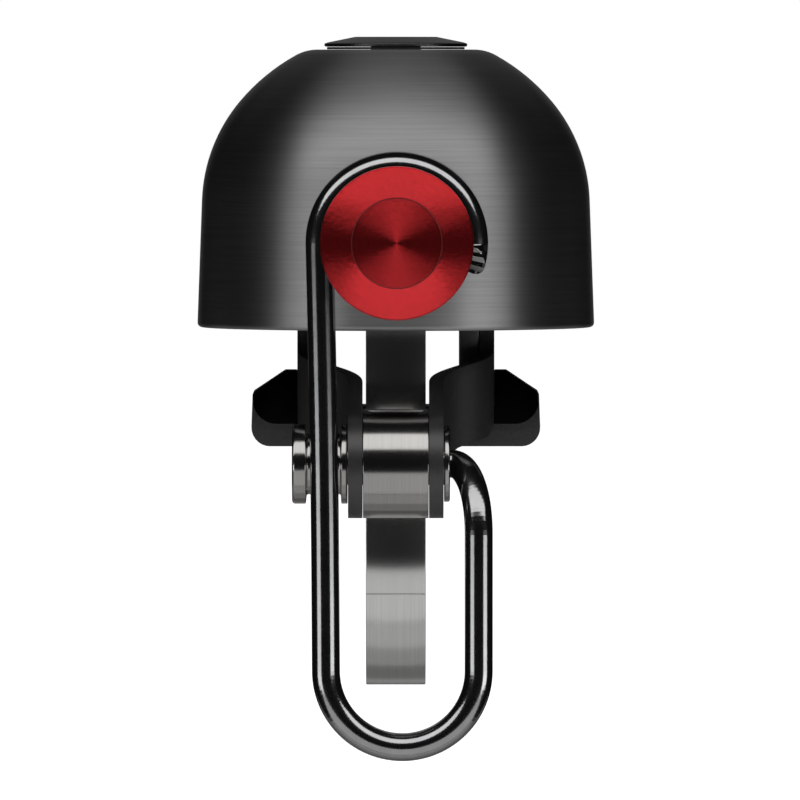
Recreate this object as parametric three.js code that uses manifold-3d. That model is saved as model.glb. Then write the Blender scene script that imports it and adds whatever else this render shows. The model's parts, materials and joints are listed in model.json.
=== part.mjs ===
// A compact bicycle bell that clamps on a handlebar. A turned dome sits on a post above the bar, and a
// sprung wire striker with a red disc head hangs in front of it. A steel strap passes under the bar and
// up into the dome, where the cap screw draws it tight.
//
// Millimetres. The origin is on the handlebar's axis, midway across the strap. +X runs along the bar to
// the right, +Y points away from the rider and +Z is up. The striker is on the rider's side, at -Y.

import * as THREE from 'three';
import { mergeVertices } from 'three/addons/utils/BufferGeometryUtils.js';
import Module from 'manifold-3d';

const wasm = await Module();
wasm.setup();

// Driving dimensions

const BAR_RADIUS = 11.1;

const DOME_RIM_RADIUS = 19.05;
const DOME_RIM_Z = 21.1;
const DOME_WALL = 1.7;
const DOME_SKIRT_HEIGHT = 12.2;
const DOME_TAPER_DEG = 2.07;
const DOME_ARCS = [
  { radius: 15.55, toDeg: 40, steps: 3 },
  { radius: 19.1, toDeg: 61, steps: 2 },
  { radius: 4.3, toDeg: 90, steps: 3 },
];
const DOME_RIM_ROUND = 0.5;
const DOME_HOLE_RADIUS = 3.6;

const SCREW_RADIUS = 2.4;
const SCREW_HOLE_RADIUS = 2.5;
const SCREW_END_Z = 21.6;
const CAP_HEAD_RADIUS = 6.85;
const CAP_HEAD_HEIGHT = 0.95;
const CAP_EDGE_HEIGHT = 0.3;
const CAP_SHOULDER = { radius: 4.9, height: 0.8 };
const CAP_FLAT_RADIUS = 3.9;
const CAP_SOCKET_FLATS = 3;
const CAP_SOCKET_DEPTH = 2.4;
const WASHER_RADIUS = 6.6;
const WASHER_THICKNESS = 0.22;
const BUSH_FLANGE_RADIUS = 6;
const BUSH_FLANGE_THICKNESS = 0.9;
const SLEEVE_RADIUS = 4.5;

const SHEET_GAP = 0.05;
const BRACKET_TOP_Z = 36.2;
const BRACKET_PLATE = 2;
const PILLAR_INNER_X = 6.06;
const PILLAR_OUTER_X = 8;
const PILLAR_HALF_DEPTH = 4.5;

const PLATE_THICKNESS = 1.36;
const PLATE_TOP_Z = 33;
const PLATE_SWEEP_START_Y = -5;
const PLATE_SWEEP_END_Y = -13;
const PLATE_TOP_CORNER = 1.5;
const PLATE_TOP_EDGE = { startZ: 21, cornerZ: 19.2, endY: -6.2, endZ: 18.6 };
const PLATE_FOOT_Y = -5.45;
const PLATE_BOTTOM = [[-9.6, 9.85], [-6.9, 10.85], [-5.6, 12.3]];
const EAR_NECK = { y: -12.6, z: 7.6, cornerY: -11, cornerZ: 9.3 };
const EAR_INNER_X = 3.15;
const RIVET_Z = { lower: 25.2, upper: 30.8 };
const RIVET_RADIUS = 1.2;
const RIVET_HEAD_RADIUS = 2;
const RIVET_HEAD_HEIGHT = 0.38;

const SADDLE_HALF_WIDTH = 13.86;
const SADDLE_HALF_DEPTH = 5.2;
const SADDLE_FLOOR_Z = 13.6;
const SADDLE_LIP_TOP_Z = 11.95;
const SADDLE_CORNER = 1.8;
const SADDLE_CORNER_Z = 11.6;
const SADDLE_WING_Z = 17;
const SADDLE_WING_INNER_X = 9.44;
const SADDLE_WING_HALF_DEPTH = 2.4;
const SADDLE_CHAMFER = [[10.6, SADDLE_WING_Z], [13.68, 14.9]];
const SADDLE_SCREW_X = 7.03;
const SADDLE_SCREW_RADIUS = 0.7;
const SADDLE_SCREW_HEAD_RADIUS = 1.5;
const SADDLE_SCREW_HEAD_Z = 11.35;
const SADDLE_SCREW_HEAD_HEIGHT = 0.9;
const SADDLE_SCREW_LENGTH = 6.8;

const STRAP_WIDTH = 5.7;
const STRAP_INNER_RADIUS = 12.6;
const STRAP_THICKNESS = 0.6;
const STRAP_TOP_Z = 29.05;
const STRAP_BEND_RADIUS = 1.2;
const STRAP_END_Y = 3.4;
const LINER_GAP = 0.05;
const LINER_TOP_Z = 3.5;
const BRIDGE_HALF_X = 5.4;
const BRIDGE_HALF_Y = 8;
const BRIDGE_THICKNESS = 2;
const NUT_FLATS = 8;
const NUT_HEIGHT = 2.6;

const PIVOT_Y = -18.75;
const PIVOT_Z = 8.56;
const EAR_RADIUS = 5.15;
const BARREL_HALF_LENGTH = 3.1;
const BARREL_WALL = 1.1;
const PIVOT_PIN_RADIUS = 2;
const PIVOT_HOLE_RADIUS = 2.06;
const BOLT_FLANGE_RADIUS = 3.78;
const BOLT_GROOVE_RADIUS = 2.9;
const BOLT_HEAD_FACE_X = -9.8;
const BOLT_HEAD_BACK_X = -8.5;
const BOLT_COLLAR_X = -5.15;
const BOLT_END_X = -0.6;
const BOLT_SOCKET = { flats: 3, floorX: -7.6 };
const BUSH_BORE_RADIUS = 1.37;
const PIVOT_BUSH = { fromX: 0.4, toX: 5.12, flangeRadius: 3.6 };
const EAR_CLEARANCE = 0.06;
const SPRING_RADIUS = 2.95;
const SPRING_WIRE_RADIUS = 0.3;
const SPRING_TURNS = 4.5;
const SPRING_LENGTH = 4;
const SPRING_MIDDLE_X = 0.5;

const WIRE_RADIUS = 1.3;
const WIRE_Y = -23.1;
const WIRE_LOOP = { x: 0.1, z: 29.5, radius: 7.28, endDeg: -21 };
const WIRE_BOW = { x: 0.62, z: -10.84, radius: 7.2 };
const WIRE_BEND_Z = 2;
const WIRE_END_X = 0.8;
const WIRE_MOUTH_X = 5.3;
const WIRE_ELBOW = { leaveX: 6.75, arriveZ: 6.2 };
const HEAD_RADIUS = 7.24;
const HEAD_GROOVE_RADIUS = 5.88;
const HEAD_FRONT_Y = -26.85;
const HEAD_FLANGE_THICKNESS = 2.4;
const HEAD_REAR = { radius: 6.9, fromY: -21.75, toY: -20.9 };
const DISH_RADIUS = 4.3;
const DISH_DEPTH = 0.8;
const TIP_PIN_RADIUS = 0.9;
const TIP_HOLE = { radius: 0.95, depth: 1.6 };
const TIP_RADIUS = 2;
const TIP_BASE_Y = -20.85;
const TIP_END_Y = -19.7;

// Materials

function finish(color, roughness, metalness) {
  return new THREE.MeshStandardMaterial({ color, roughness, metalness });
}

const FINISHES = {
  dome: finish(0x5c5c5c, 0.35, 1),
  cap: finish(0x3a3a3a, 0.35, 1),
  steel: finish(0xa9a9a6, 0.35, 1),
  strap: finish(0x8d8d8a, 0.3, 1),
  arm: finish(0x2b2b2b, 0.5, 0.6),
  barrel: finish(0xa09d99, 0.4, 1),
  wire: finish(0x4a4a4c, 0.18, 1),
  head: finish(0xc8302f, 0.3, 0.8),
  nylon: finish(0x1c1c1c, 0.6, 0),
  bush: finish(0x2a2a2a, 0.45, 0),
  rubber: finish(0x151515, 0.85, 0),
};

// Shape tools

const rad = THREE.MathUtils.degToRad;

function basis(...axes) {
  const [x, y, z] = axes.map((axis) => new THREE.Vector3(...axis));
  return new THREE.Matrix4().makeBasis(x, y, z);
}

// Turns that carry a shape drawn along +Z so that it runs along another axis.
const ALONG = {
  z: basis([1, 0, 0], [0, 1, 0], [0, 0, 1]),
  x: basis([0, 1, 0], [0, 0, 1], [1, 0, 0]),
  y: basis([0, 0, 1], [1, 0, 0], [0, 1, 0]),
};

// Points of a circular arc, in degrees, both ends included.
function arc(cx, cy, radius, fromDeg, toDeg, steps) {
  const points = [];
  for (let i = 0; i <= steps; i += 1) {
    const angle = rad(fromDeg + ((toDeg - fromDeg) * i) / steps);
    points.push([cx + radius * Math.cos(angle), cy + radius * Math.sin(angle)]);
  }
  return points;
}

function asShape(points) {
  return new THREE.Shape(points.map(([x, y]) => new THREE.Vector2(x, y)));
}

// A turned solid about an axis. The profile is [radius, height] pairs going up the outside, and it
// either starts and ends on the axis or is closed here into a ring.
function turned(profile, axis, segments) {
  const points = profile.map(([r, h]) => new THREE.Vector2(r, h));
  if (points[0].x > 0) points.push(points[0].clone());
  const geometry = new THREE.LatheGeometry(points, segments);
  geometry.rotateX(Math.PI / 2);
  return geometry.applyMatrix4(ALONG[axis]);
}

// A plain round bar or ring between two heights on an axis.
function rod(axis, radius, from, to, segments = 16) {
  return turned([[0, from], [radius, from], [radius, to], [0, to]], axis, segments);
}

function ring(axis, inner, outer, from, to, segments) {
  return turned([[inner, from], [outer, from], [outer, to], [inner, to]], axis, segments);
}

// A prism of an outline, from one place to another along an axis. For x the outline is (y, z); for z it
// is (x, y).
function prism(shape, axis, from, to, curveSegments = 8) {
  const options = { depth: to - from, bevelEnabled: false, curveSegments };
  const geometry = new THREE.ExtrudeGeometry(shape, options);
  geometry.translate(0, 0, from);
  return geometry.applyMatrix4(ALONG[axis]);
}

// A prism of an (x, z) outline, centred on y = 0.
function frontPrism(shape, halfDepth) {
  const geometry = new THREE.ExtrudeGeometry(shape, { depth: 2 * halfDepth, bevelEnabled: false });
  geometry.translate(0, 0, -halfDepth);
  return geometry.applyMatrix4(basis([1, 0, 0], [0, 0, 1], [0, -1, 0]));
}

function hexagon(flats) {
  return asShape(arc(0, 0, flats / Math.sqrt(3), 0, 300, 5));
}

function solid(geometry) {
  const bare = geometry.clone();
  bare.deleteAttribute('normal');
  bare.deleteAttribute('uv');
  const merged = mergeVertices(bare, 1e-5);
  const vertProperties = new Float32Array(merged.attributes.position.array);
  const triVerts = new Uint32Array(merged.index.array);
  return new wasm.Manifold(new wasm.Mesh({ numProp: 3, vertProperties, triVerts }));
}

function geometryOf(manifold) {
  const { vertProperties, triVerts, numProp } = manifold.getMesh();
  const geometry = new THREE.BufferGeometry();
  const positions = new Float32Array((vertProperties.length / numProp) * 3);
  for (let i = 0; i < positions.length / 3; i += 1) {
    positions.set(vertProperties.subarray(i * numProp, i * numProp + 3), i * 3);
  }
  geometry.setAttribute('position', new THREE.BufferAttribute(positions, 3));
  geometry.setIndex(new THREE.BufferAttribute(new Uint32Array(triVerts), 1));
  geometry.computeVertexNormals();
  return geometry;
}

function cut(geometry, tools) {
  let body = solid(geometry);
  for (const tool of tools) body = body.subtract(solid(tool));
  return geometryOf(body);
}

const group = new THREE.Group();

function add(name, geometry, material, place = [0, 0, 0]) {
  const mesh = new THREE.Mesh(geometry, FINISHES[material]);
  mesh.name = name;
  mesh.position.set(...place);
  group.add(mesh);
}

// Dome and its centre fastening

// One wall of the dome, from the rim to the flat top, set in from the outside by an inset.
function domeWall(inset, fromZ) {
  let angle = DOME_TAPER_DEG;
  const slope = Math.tan(rad(angle));
  const radiusAt = (z) => DOME_RIM_RADIUS - slope * (z - DOME_RIM_Z) - inset / Math.cos(rad(angle));
  const skirtTop = DOME_RIM_Z + DOME_SKIRT_HEIGHT;
  const points = [[radiusAt(fromZ), fromZ]];
  let x = DOME_RIM_RADIUS - slope * DOME_SKIRT_HEIGHT;
  let z = skirtTop;
  for (const { radius, toDeg, steps } of DOME_ARCS) {
    const cx = x - radius * Math.cos(rad(angle));
    const cz = z - radius * Math.sin(rad(angle));
    const stretch = arc(cx, cz, radius - inset, angle, toDeg, steps);
    points.push(...stretch.slice(points.length > 1 ? 1 : 0));
    x = cx + radius * Math.cos(rad(toDeg));
    z = cz + radius * Math.sin(rad(toDeg));
    angle = toDeg;
  }
  return points;
}

function domeTopZ() {
  return domeWall(0, DOME_RIM_Z).at(-1)[1];
}

function domeGeometry() {
  const round = DOME_RIM_ROUND;
  const outer = domeWall(0, DOME_RIM_Z + round);
  const inner = domeWall(DOME_WALL, DOME_RIM_Z + round);
  const topZ = outer.at(-1)[1];
  const rimZ = DOME_RIM_Z + round;
  const rim = [
    ...arc(inner[0][0] + round, rimZ, round, 180, 270, 2),
    ...arc(outer[0][0] - round, rimZ, round, 270, 360, 2),
  ];
  const profile = [
    ...rim, ...outer.slice(1), [DOME_HOLE_RADIUS, topZ],
    [DOME_HOLE_RADIUS, topZ - DOME_WALL], ...inner.slice(1).reverse(),
  ];
  return turned(profile, 'z', 44);
}

function capScrewGeometry(underZ) {
  const top = underZ + CAP_HEAD_HEIGHT;
  const profile = [
    [0, SCREW_END_Z], [SCREW_RADIUS - 0.4, SCREW_END_Z], [SCREW_RADIUS, SCREW_END_Z + 0.4],
    [SCREW_RADIUS, underZ], [CAP_HEAD_RADIUS - 0.1, underZ], [CAP_HEAD_RADIUS, underZ + 0.1],
    [CAP_HEAD_RADIUS, underZ + CAP_EDGE_HEIGHT],
    [CAP_HEAD_RADIUS - 0.3, underZ + CAP_EDGE_HEIGHT + 0.12],
    [CAP_SHOULDER.radius, underZ + CAP_SHOULDER.height], [CAP_FLAT_RADIUS, top], [0, top],
  ];
  const head = turned(profile, 'z', 28);
  const socket = prism(hexagon(CAP_SOCKET_FLATS), 'z', top - CAP_SOCKET_DEPTH, top + 1);
  return cut(head, [socket]);
}

function addDome() {
  const top = domeTopZ();
  const innerTop = top - DOME_WALL;
  const flangeBottom = innerTop - SHEET_GAP - BUSH_FLANGE_THICKNESS;
  const washerBottom = top + 0.02;
  const washerTop = washerBottom + WASHER_THICKNESS;
  add('dome', domeGeometry(), 'dome');
  add('cap_washer', ring('z', SCREW_HOLE_RADIUS, WASHER_RADIUS, washerBottom, washerTop, 24), 'bush');
  add('cap_screw', capScrewGeometry(washerTop + 0.03), 'cap');
  const bush = [
    [SCREW_HOLE_RADIUS, flangeBottom], [BUSH_FLANGE_RADIUS, flangeBottom],
    [BUSH_FLANGE_RADIUS, innerTop - SHEET_GAP], [DOME_HOLE_RADIUS - 0.06, innerTop - SHEET_GAP],
    [DOME_HOLE_RADIUS - 0.06, top - 0.02], [SCREW_HOLE_RADIUS, top - 0.02],
  ];
  add('dome_bush', turned(bush, 'z', 24), 'bush');
  const sleeveFrom = BRACKET_TOP_Z + SHEET_GAP;
  const sleeve = ring('z', SCREW_HOLE_RADIUS, SLEEVE_RADIUS, sleeveFrom, flangeBottom - SHEET_GAP, 20);
  add('post_sleeve', sleeve, 'steel');
}

// Bracket: an inverted U that stands on the saddle

function addBracket() {
  const foot = SADDLE_FLOOR_Z + SHEET_GAP;
  const under = BRACKET_TOP_Z - BRACKET_PLATE;
  const outline = [
    [-PILLAR_OUTER_X, foot], [-PILLAR_INNER_X, foot], [-PILLAR_INNER_X, under],
    [PILLAR_INNER_X, under], [PILLAR_INNER_X, foot], [PILLAR_OUTER_X, foot],
    ...arc(PILLAR_OUTER_X - 1.2, BRACKET_TOP_Z - 1.2, 1.2, 0, 90, 4),
    ...arc(1.2 - PILLAR_OUTER_X, BRACKET_TOP_Z - 1.2, 1.2, 90, 180, 4),
  ];
  const tools = [rod('z', SCREW_HOLE_RADIUS, under - 1, BRACKET_TOP_Z + 1)];
  for (const z of Object.values(RIVET_Z)) {
    tools.push(rod('x', RIVET_RADIUS + 0.03, -9, 9).translate(0, 0, z));
  }
  for (const side of [-1, 1]) {
    const hole = rod('z', SADDLE_SCREW_RADIUS + 0.04, foot - 1, foot + 5, 12);
    tools.push(hole.translate(side * SADDLE_SCREW_X, 0, 0));
  }
  add('bracket', cut(frontPrism(asShape(outline), PILLAR_HALF_DEPTH), tools), 'arm');
}

// Side plates: riveted to the pillars inside the dome, they sweep forward and inward to the pivot ears

function plateOutline() {
  const depth = PILLAR_HALF_DEPTH;
  const shape = new THREE.Shape();
  const foot = SADDLE_FLOOR_Z + 2 * SHEET_GAP;
  const corner = PLATE_TOP_CORNER;
  const edge = PLATE_TOP_EDGE;
  shape.moveTo(depth, foot);
  shape.lineTo(depth, PLATE_TOP_Z - corner);
  shape.quadraticCurveTo(depth, PLATE_TOP_Z, depth - corner, PLATE_TOP_Z);
  shape.lineTo(corner - depth, PLATE_TOP_Z);
  shape.quadraticCurveTo(-depth, PLATE_TOP_Z, -depth, PLATE_TOP_Z - corner);
  shape.lineTo(-depth, edge.startZ);
  shape.quadraticCurveTo(-depth, edge.cornerZ, edge.endY, edge.endZ);
  shape.absarc(PIVOT_Y, PIVOT_Z, EAR_RADIUS, rad(110), rad(316), false);
  shape.lineTo(EAR_NECK.y, EAR_NECK.z);
  shape.quadraticCurveTo(EAR_NECK.cornerY, EAR_NECK.cornerZ, ...PLATE_BOTTOM[0]);
  for (const point of PLATE_BOTTOM.slice(1)) shape.lineTo(...point);
  shape.lineTo(PLATE_FOOT_Y, foot);
  return shape;
}

// Plan of the right-hand plate: a straight flank, an S-shaped sweep and a straight ear.
function platePlan() {
  const half = PLATE_THICKNESS / 2;
  const flankX = PILLAR_OUTER_X + SHEET_GAP + half;
  const earX = EAR_INNER_X + half;
  const middleY = (PLATE_SWEEP_START_Y + PLATE_SWEEP_END_Y) / 2;
  const sweep = new THREE.CubicBezierCurve(
    new THREE.Vector2(flankX, PLATE_SWEEP_START_Y), new THREE.Vector2(flankX, middleY),
    new THREE.Vector2(earX, middleY), new THREE.Vector2(earX, PLATE_SWEEP_END_Y),
  );
  const outer = [[flankX + half, 6]];
  const inner = [[flankX - half, 6]];
  const steps = 9;
  for (let i = 0; i <= steps; i += 1) {
    const point = sweep.getPoint(i / steps);
    const tangent = sweep.getTangent(i / steps);
    outer.push([point.x - tangent.y * half, point.y + tangent.x * half]);
    inner.push([point.x + tangent.y * half, point.y - tangent.x * half]);
  }
  outer.push([earX + half, -26]);
  inner.push([earX - half, -26]);
  return [...outer.reverse(), ...inner];
}

function addSidePlates() {
  const side = solid(prism(plateOutline(), 'x', 0, 12, 14));
  const plan = solid(prism(asShape(platePlan()), 'z', 0, 40));
  const tools = [rod('x', PIVOT_HOLE_RADIUS, 0, 12).translate(0, PIVOT_Y, PIVOT_Z)];
  for (const z of Object.values(RIVET_Z)) {
    tools.push(rod('x', RIVET_RADIUS + 0.03, 0, 12).translate(0, 0, z));
  }
  let right = side.intersect(plan);
  for (const tool of tools) right = right.subtract(solid(tool));
  add('right_side_plate', geometryOf(right), 'arm');
  add('left_side_plate', geometryOf(right.mirror([1, 0, 0])), 'arm');
}

function addRivets() {
  const head = RIVET_HEAD_HEIGHT;
  const inner = PILLAR_INNER_X - 0.02;
  const outer = PILLAR_OUTER_X + SHEET_GAP + PLATE_THICKNESS + 0.02;
  const profile = [
    [0, inner - head], [RIVET_HEAD_RADIUS * 0.7, inner - head], [RIVET_HEAD_RADIUS, inner - head / 2],
    [RIVET_HEAD_RADIUS, inner], [RIVET_RADIUS, inner], [RIVET_RADIUS, outer],
    [RIVET_HEAD_RADIUS, outer], [RIVET_HEAD_RADIUS, outer + head / 2],
    [RIVET_HEAD_RADIUS * 0.7, outer + head], [0, outer + head],
  ];
  for (const [level, z] of Object.entries(RIVET_Z)) {
    const right = turned(profile, 'x', 12).translate(0, 0, z);
    add(`right_${level}_rivet`, right, 'steel');
    add(`left_${level}_rivet`, geometryOf(solid(right).mirror([1, 0, 0])), 'steel');
  }
}

// Saddle: the nylon block that seats on the bar

function saddleFront() {
  const half = [
    [SADDLE_WING_INNER_X, SADDLE_FLOOR_Z], [SADDLE_WING_INNER_X, SADDLE_WING_Z], ...SADDLE_CHAMFER,
    ...arc(SADDLE_HALF_WIDTH - SADDLE_CORNER, SADDLE_CORNER_Z, SADDLE_CORNER, 0, -90, 5),
  ];
  const mirrored = half.map(([x, z]) => [-x, z]).reverse();
  return asShape([...half, ...mirrored].reverse());
}

function saddleSide() {
  const reach = THREE.MathUtils.radToDeg(Math.asin(SADDLE_HALF_DEPTH / BAR_RADIUS));
  return asShape([
    ...arc(0, 0, BAR_RADIUS, 90 + reach, 90 - reach, 12),
    [SADDLE_HALF_DEPTH, SADDLE_WING_Z + 1], [-SADDLE_HALF_DEPTH, SADDLE_WING_Z + 1],
  ]);
}

// The wedge taken off a wing above its lip, on one side of the saddle (-1 or 1) and one face of it.
function wingSlope(side, face) {
  const beyond = SADDLE_HALF_DEPTH + 1;
  const slope = (SADDLE_WING_Z - SADDLE_LIP_TOP_Z) / (SADDLE_HALF_DEPTH - SADDLE_WING_HALF_DEPTH);
  const outline = [
    [SADDLE_WING_HALF_DEPTH - 1, SADDLE_WING_Z + slope], [beyond, SADDLE_LIP_TOP_Z - slope],
    [beyond, SADDLE_WING_Z + slope],
  ];
  const points = outline.map(([y, z]) => [face * y, z]);
  if (face > 0) points.reverse();
  const wedge = prism(asShape(points), 'x', -3, 3);
  return wedge.translate(side * (SADDLE_WING_INNER_X + 3), 0, 0);
}

function addSaddle() {
  const wide = frontPrism(saddleFront(), SADDLE_HALF_DEPTH + 1);
  const deep = prism(saddleSide(), 'x', -15, 15);
  const recessTop = SADDLE_SCREW_HEAD_Z + SADDLE_SCREW_HEAD_HEIGHT + 0.05;
  let body = solid(wide).intersect(solid(deep));
  for (const side of [-1, 1]) {
    const x = side * SADDLE_SCREW_X;
    const recess = rod('z', SADDLE_SCREW_HEAD_RADIUS + 0.1, 8, recessTop, 20);
    const hole = rod('z', SADDLE_SCREW_RADIUS + 0.1, 8, 16, 12);
    body = body.subtract(solid(wingSlope(side, -1)));
    body = body.subtract(solid(wingSlope(side, 1)));
    body = body.subtract(solid(recess.translate(x, 0, 0)));
    body = body.subtract(solid(hole.translate(x, 0, 0)));
  }
  add('saddle', geometryOf(body), 'nylon');
  const low = SADDLE_SCREW_HEAD_Z;
  const shoulder = low + SADDLE_SCREW_HEAD_HEIGHT;
  const end = low + SADDLE_SCREW_LENGTH;
  const profile = [
    [0, low], [SADDLE_SCREW_HEAD_RADIUS, low], [SADDLE_SCREW_HEAD_RADIUS, shoulder],
    [SADDLE_SCREW_RADIUS, shoulder], [SADDLE_SCREW_RADIUS, end - 0.4], [0, end],
  ];
  for (const [name, side] of [['left', -1], ['right', 1]]) {
    const slot = new THREE.BoxGeometry(0.4, 4, 1).translate(0, 0, low);
    const screw = cut(turned(profile, 'z', 12), [slot]);
    add(`${name}_saddle_screw`, screw, 'steel', [side * SADDLE_SCREW_X, 0, 0]);
  }
}

// Strap, liner, tension bridge and nut: drawn up by the cap screw

// The (y, z) outline of a U-shaped band about the bar, from one top end round to the other.
function bandOutline(inner, outer, topZ) {
  return asShape([
    [-inner, topZ], [-outer, topZ], ...arc(0, 0, outer, 180, 360, 18),
    [outer, topZ], [inner, topZ], ...arc(0, 0, inner, 360, 180, 18),
  ]);
}

function strapOutline() {
  const inner = STRAP_INNER_RADIUS;
  const outer = inner + STRAP_THICKNESS;
  const bendY = inner - STRAP_BEND_RADIUS;
  const bendZ = STRAP_TOP_Z - STRAP_THICKNESS - STRAP_BEND_RADIUS;
  const outerBend = STRAP_BEND_RADIUS + STRAP_THICKNESS;
  return asShape([
    [-STRAP_END_Y, STRAP_TOP_Z], ...arc(-bendY, bendZ, outerBend, 90, 180, 4),
    ...arc(0, 0, outer, 180, 360, 18), ...arc(bendY, bendZ, outerBend, 0, 90, 4),
    [STRAP_END_Y, STRAP_TOP_Z], [STRAP_END_Y, STRAP_TOP_Z - STRAP_THICKNESS],
    ...arc(bendY, bendZ, STRAP_BEND_RADIUS, 90, 0, 4), ...arc(0, 0, inner, 360, 180, 18),
    ...arc(-bendY, bendZ, STRAP_BEND_RADIUS, 180, 90, 4),
    [-STRAP_END_Y, STRAP_TOP_Z - STRAP_THICKNESS],
  ]);
}

function addStrap() {
  const half = STRAP_WIDTH / 2;
  add('strap', prism(strapOutline(), 'x', -half, half), 'strap');
  const liner = bandOutline(BAR_RADIUS, STRAP_INNER_RADIUS - LINER_GAP, LINER_TOP_Z);
  add('strap_liner', prism(liner, 'x', -half, half), 'rubber');
  const bridgeTop = STRAP_TOP_Z - STRAP_THICKNESS - SHEET_GAP;
  const bridgeUnder = bridgeTop - BRIDGE_THICKNESS;
  const plate = new THREE.BoxGeometry(2 * BRIDGE_HALF_X, 2 * BRIDGE_HALF_Y, BRIDGE_THICKNESS);
  plate.translate(0, 0, bridgeTop - BRIDGE_THICKNESS / 2);
  const bore = rod('z', SCREW_HOLE_RADIUS, 20, 30);
  add('tension_bridge', cut(plate, [bore]), 'steel');
  const nutTop = bridgeUnder - SHEET_GAP;
  const nut = prism(hexagon(NUT_FLATS), 'z', nutTop - NUT_HEIGHT, nutTop);
  add('tension_nut', cut(nut, [bore]), 'steel');
}

// Pivot: the barrel between the ears, the bolt on the left and the flanged bush on the right

class Helix extends THREE.Curve {
  constructor(radius, length, turns) {
    super();
    this.radius = radius;
    this.length = length;
    this.turns = turns;
  }

  getPoint(t, target = new THREE.Vector3()) {
    const angle = 2 * Math.PI * this.turns * t;
    const [y, z] = [this.radius * Math.cos(angle), this.radius * Math.sin(angle)];
    return target.set(this.length * (t - 0.5), y, z);
  }
}

function swept(path, radius, sides, steps) {
  const section = asShape(arc(0, 0, radius, 0, 360 - 360 / sides, sides - 1));
  return new THREE.ExtrudeGeometry(section, { steps, extrudePath: path, bevelEnabled: false });
}

function addPivot() {
  const place = [0, PIVOT_Y, PIVOT_Z];
  const half = BARREL_HALF_LENGTH;
  const chamfer = 0.3;
  const chamber = EAR_RADIUS - BARREL_WALL;
  const barrel = [
    [PIVOT_HOLE_RADIUS, -half], [EAR_RADIUS - chamfer, -half], [EAR_RADIUS, chamfer - half],
    [EAR_RADIUS, half - chamfer], [EAR_RADIUS - chamfer, half], [chamber, half],
    [chamber, BARREL_WALL - half], [PIVOT_HOLE_RADIUS, BARREL_WALL - half],
  ];
  add('pivot_barrel', turned(barrel, 'x', 28), 'barrel', place);

  const earFace = EAR_INNER_X + PLATE_THICKNESS + EAR_CLEARANCE;
  const flange = BOLT_FLANGE_RADIUS;
  const bolt = [
    [0, BOLT_HEAD_FACE_X], [flange - chamfer, BOLT_HEAD_FACE_X], [flange, BOLT_HEAD_FACE_X + chamfer],
    [flange, BOLT_HEAD_BACK_X - 0.15], [flange - chamfer, BOLT_HEAD_BACK_X],
    [BOLT_GROOVE_RADIUS, BOLT_HEAD_BACK_X + 0.1], [BOLT_GROOVE_RADIUS, BOLT_COLLAR_X - 0.05],
    [flange, BOLT_COLLAR_X], [flange, -earFace], [PIVOT_PIN_RADIUS, -earFace],
    [PIVOT_PIN_RADIUS, BOLT_END_X], [0, BOLT_END_X],
  ];
  const socket = prism(hexagon(BOLT_SOCKET.flats), 'x', BOLT_HEAD_FACE_X - 1, BOLT_SOCKET.floorX);
  add('pivot_bolt', cut(turned(bolt, 'x', 22), [socket]), 'wire', place);

  const { fromX, toX, flangeRadius } = PIVOT_BUSH;
  const bush = [
    [BUSH_BORE_RADIUS, fromX], [PIVOT_PIN_RADIUS, fromX], [PIVOT_PIN_RADIUS, earFace],
    [flangeRadius, earFace], [flangeRadius, toX - 0.17], [flangeRadius - 0.2, toX],
    [BUSH_BORE_RADIUS, toX],
  ];
  add('pivot_bush', turned(bush, 'x', 20), 'steel', place);

  const coil = new Helix(SPRING_RADIUS, SPRING_LENGTH, SPRING_TURNS);
  const spring = swept(coil, SPRING_WIRE_RADIUS, 5, Math.round(SPRING_TURNS * 10));
  add('return_spring', spring.translate(SPRING_MIDDLE_X, 0, 0), 'steel', place);
}

// Striker: one bent wire from the bush, down the right leg, round the bow, up the left leg and over the
// head

class FrontArc extends THREE.Curve {
  constructor(centre, fromDeg, toDeg) {
    super();
    this.centre = centre;
    this.fromDeg = fromDeg;
    this.toDeg = toDeg;
  }

  getPoint(t, target = new THREE.Vector3()) {
    const { x, z, radius } = this.centre;
    const angle = rad(this.fromDeg + (this.toDeg - this.fromDeg) * t);
    return target.set(x + radius * Math.cos(angle), WIRE_Y, z + radius * Math.sin(angle));
  }
}

function wirePath() {
  const bowRight = new THREE.Vector3(WIRE_BOW.x + WIRE_BOW.radius, WIRE_Y, WIRE_BOW.z);
  const bowLeft = new THREE.Vector3(WIRE_BOW.x - WIRE_BOW.radius, WIRE_Y, WIRE_BOW.z);
  const loopLeft = new THREE.Vector3(WIRE_LOOP.x - WIRE_LOOP.radius, WIRE_Y, WIRE_LOOP.z);
  const bend = new THREE.Vector3(bowRight.x, WIRE_Y, WIRE_BEND_Z);
  const mouth = new THREE.Vector3(WIRE_MOUTH_X, PIVOT_Y, PIVOT_Z);
  const leave = new THREE.Vector3(WIRE_ELBOW.leaveX, PIVOT_Y, PIVOT_Z);
  const arrive = new THREE.Vector3(bowRight.x, WIRE_Y, WIRE_ELBOW.arriveZ);
  const path = new THREE.CurvePath();
  path.add(new THREE.LineCurve3(new THREE.Vector3(WIRE_END_X, PIVOT_Y, PIVOT_Z), mouth));
  path.add(new THREE.CubicBezierCurve3(mouth, leave, arrive, bend));
  path.add(new THREE.LineCurve3(bend, bowRight));
  path.add(new FrontArc(WIRE_BOW, 0, -180));
  path.add(new THREE.LineCurve3(bowLeft, loopLeft));
  path.add(new FrontArc(WIRE_LOOP, 180, WIRE_LOOP.endDeg));
  return path;
}

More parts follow.
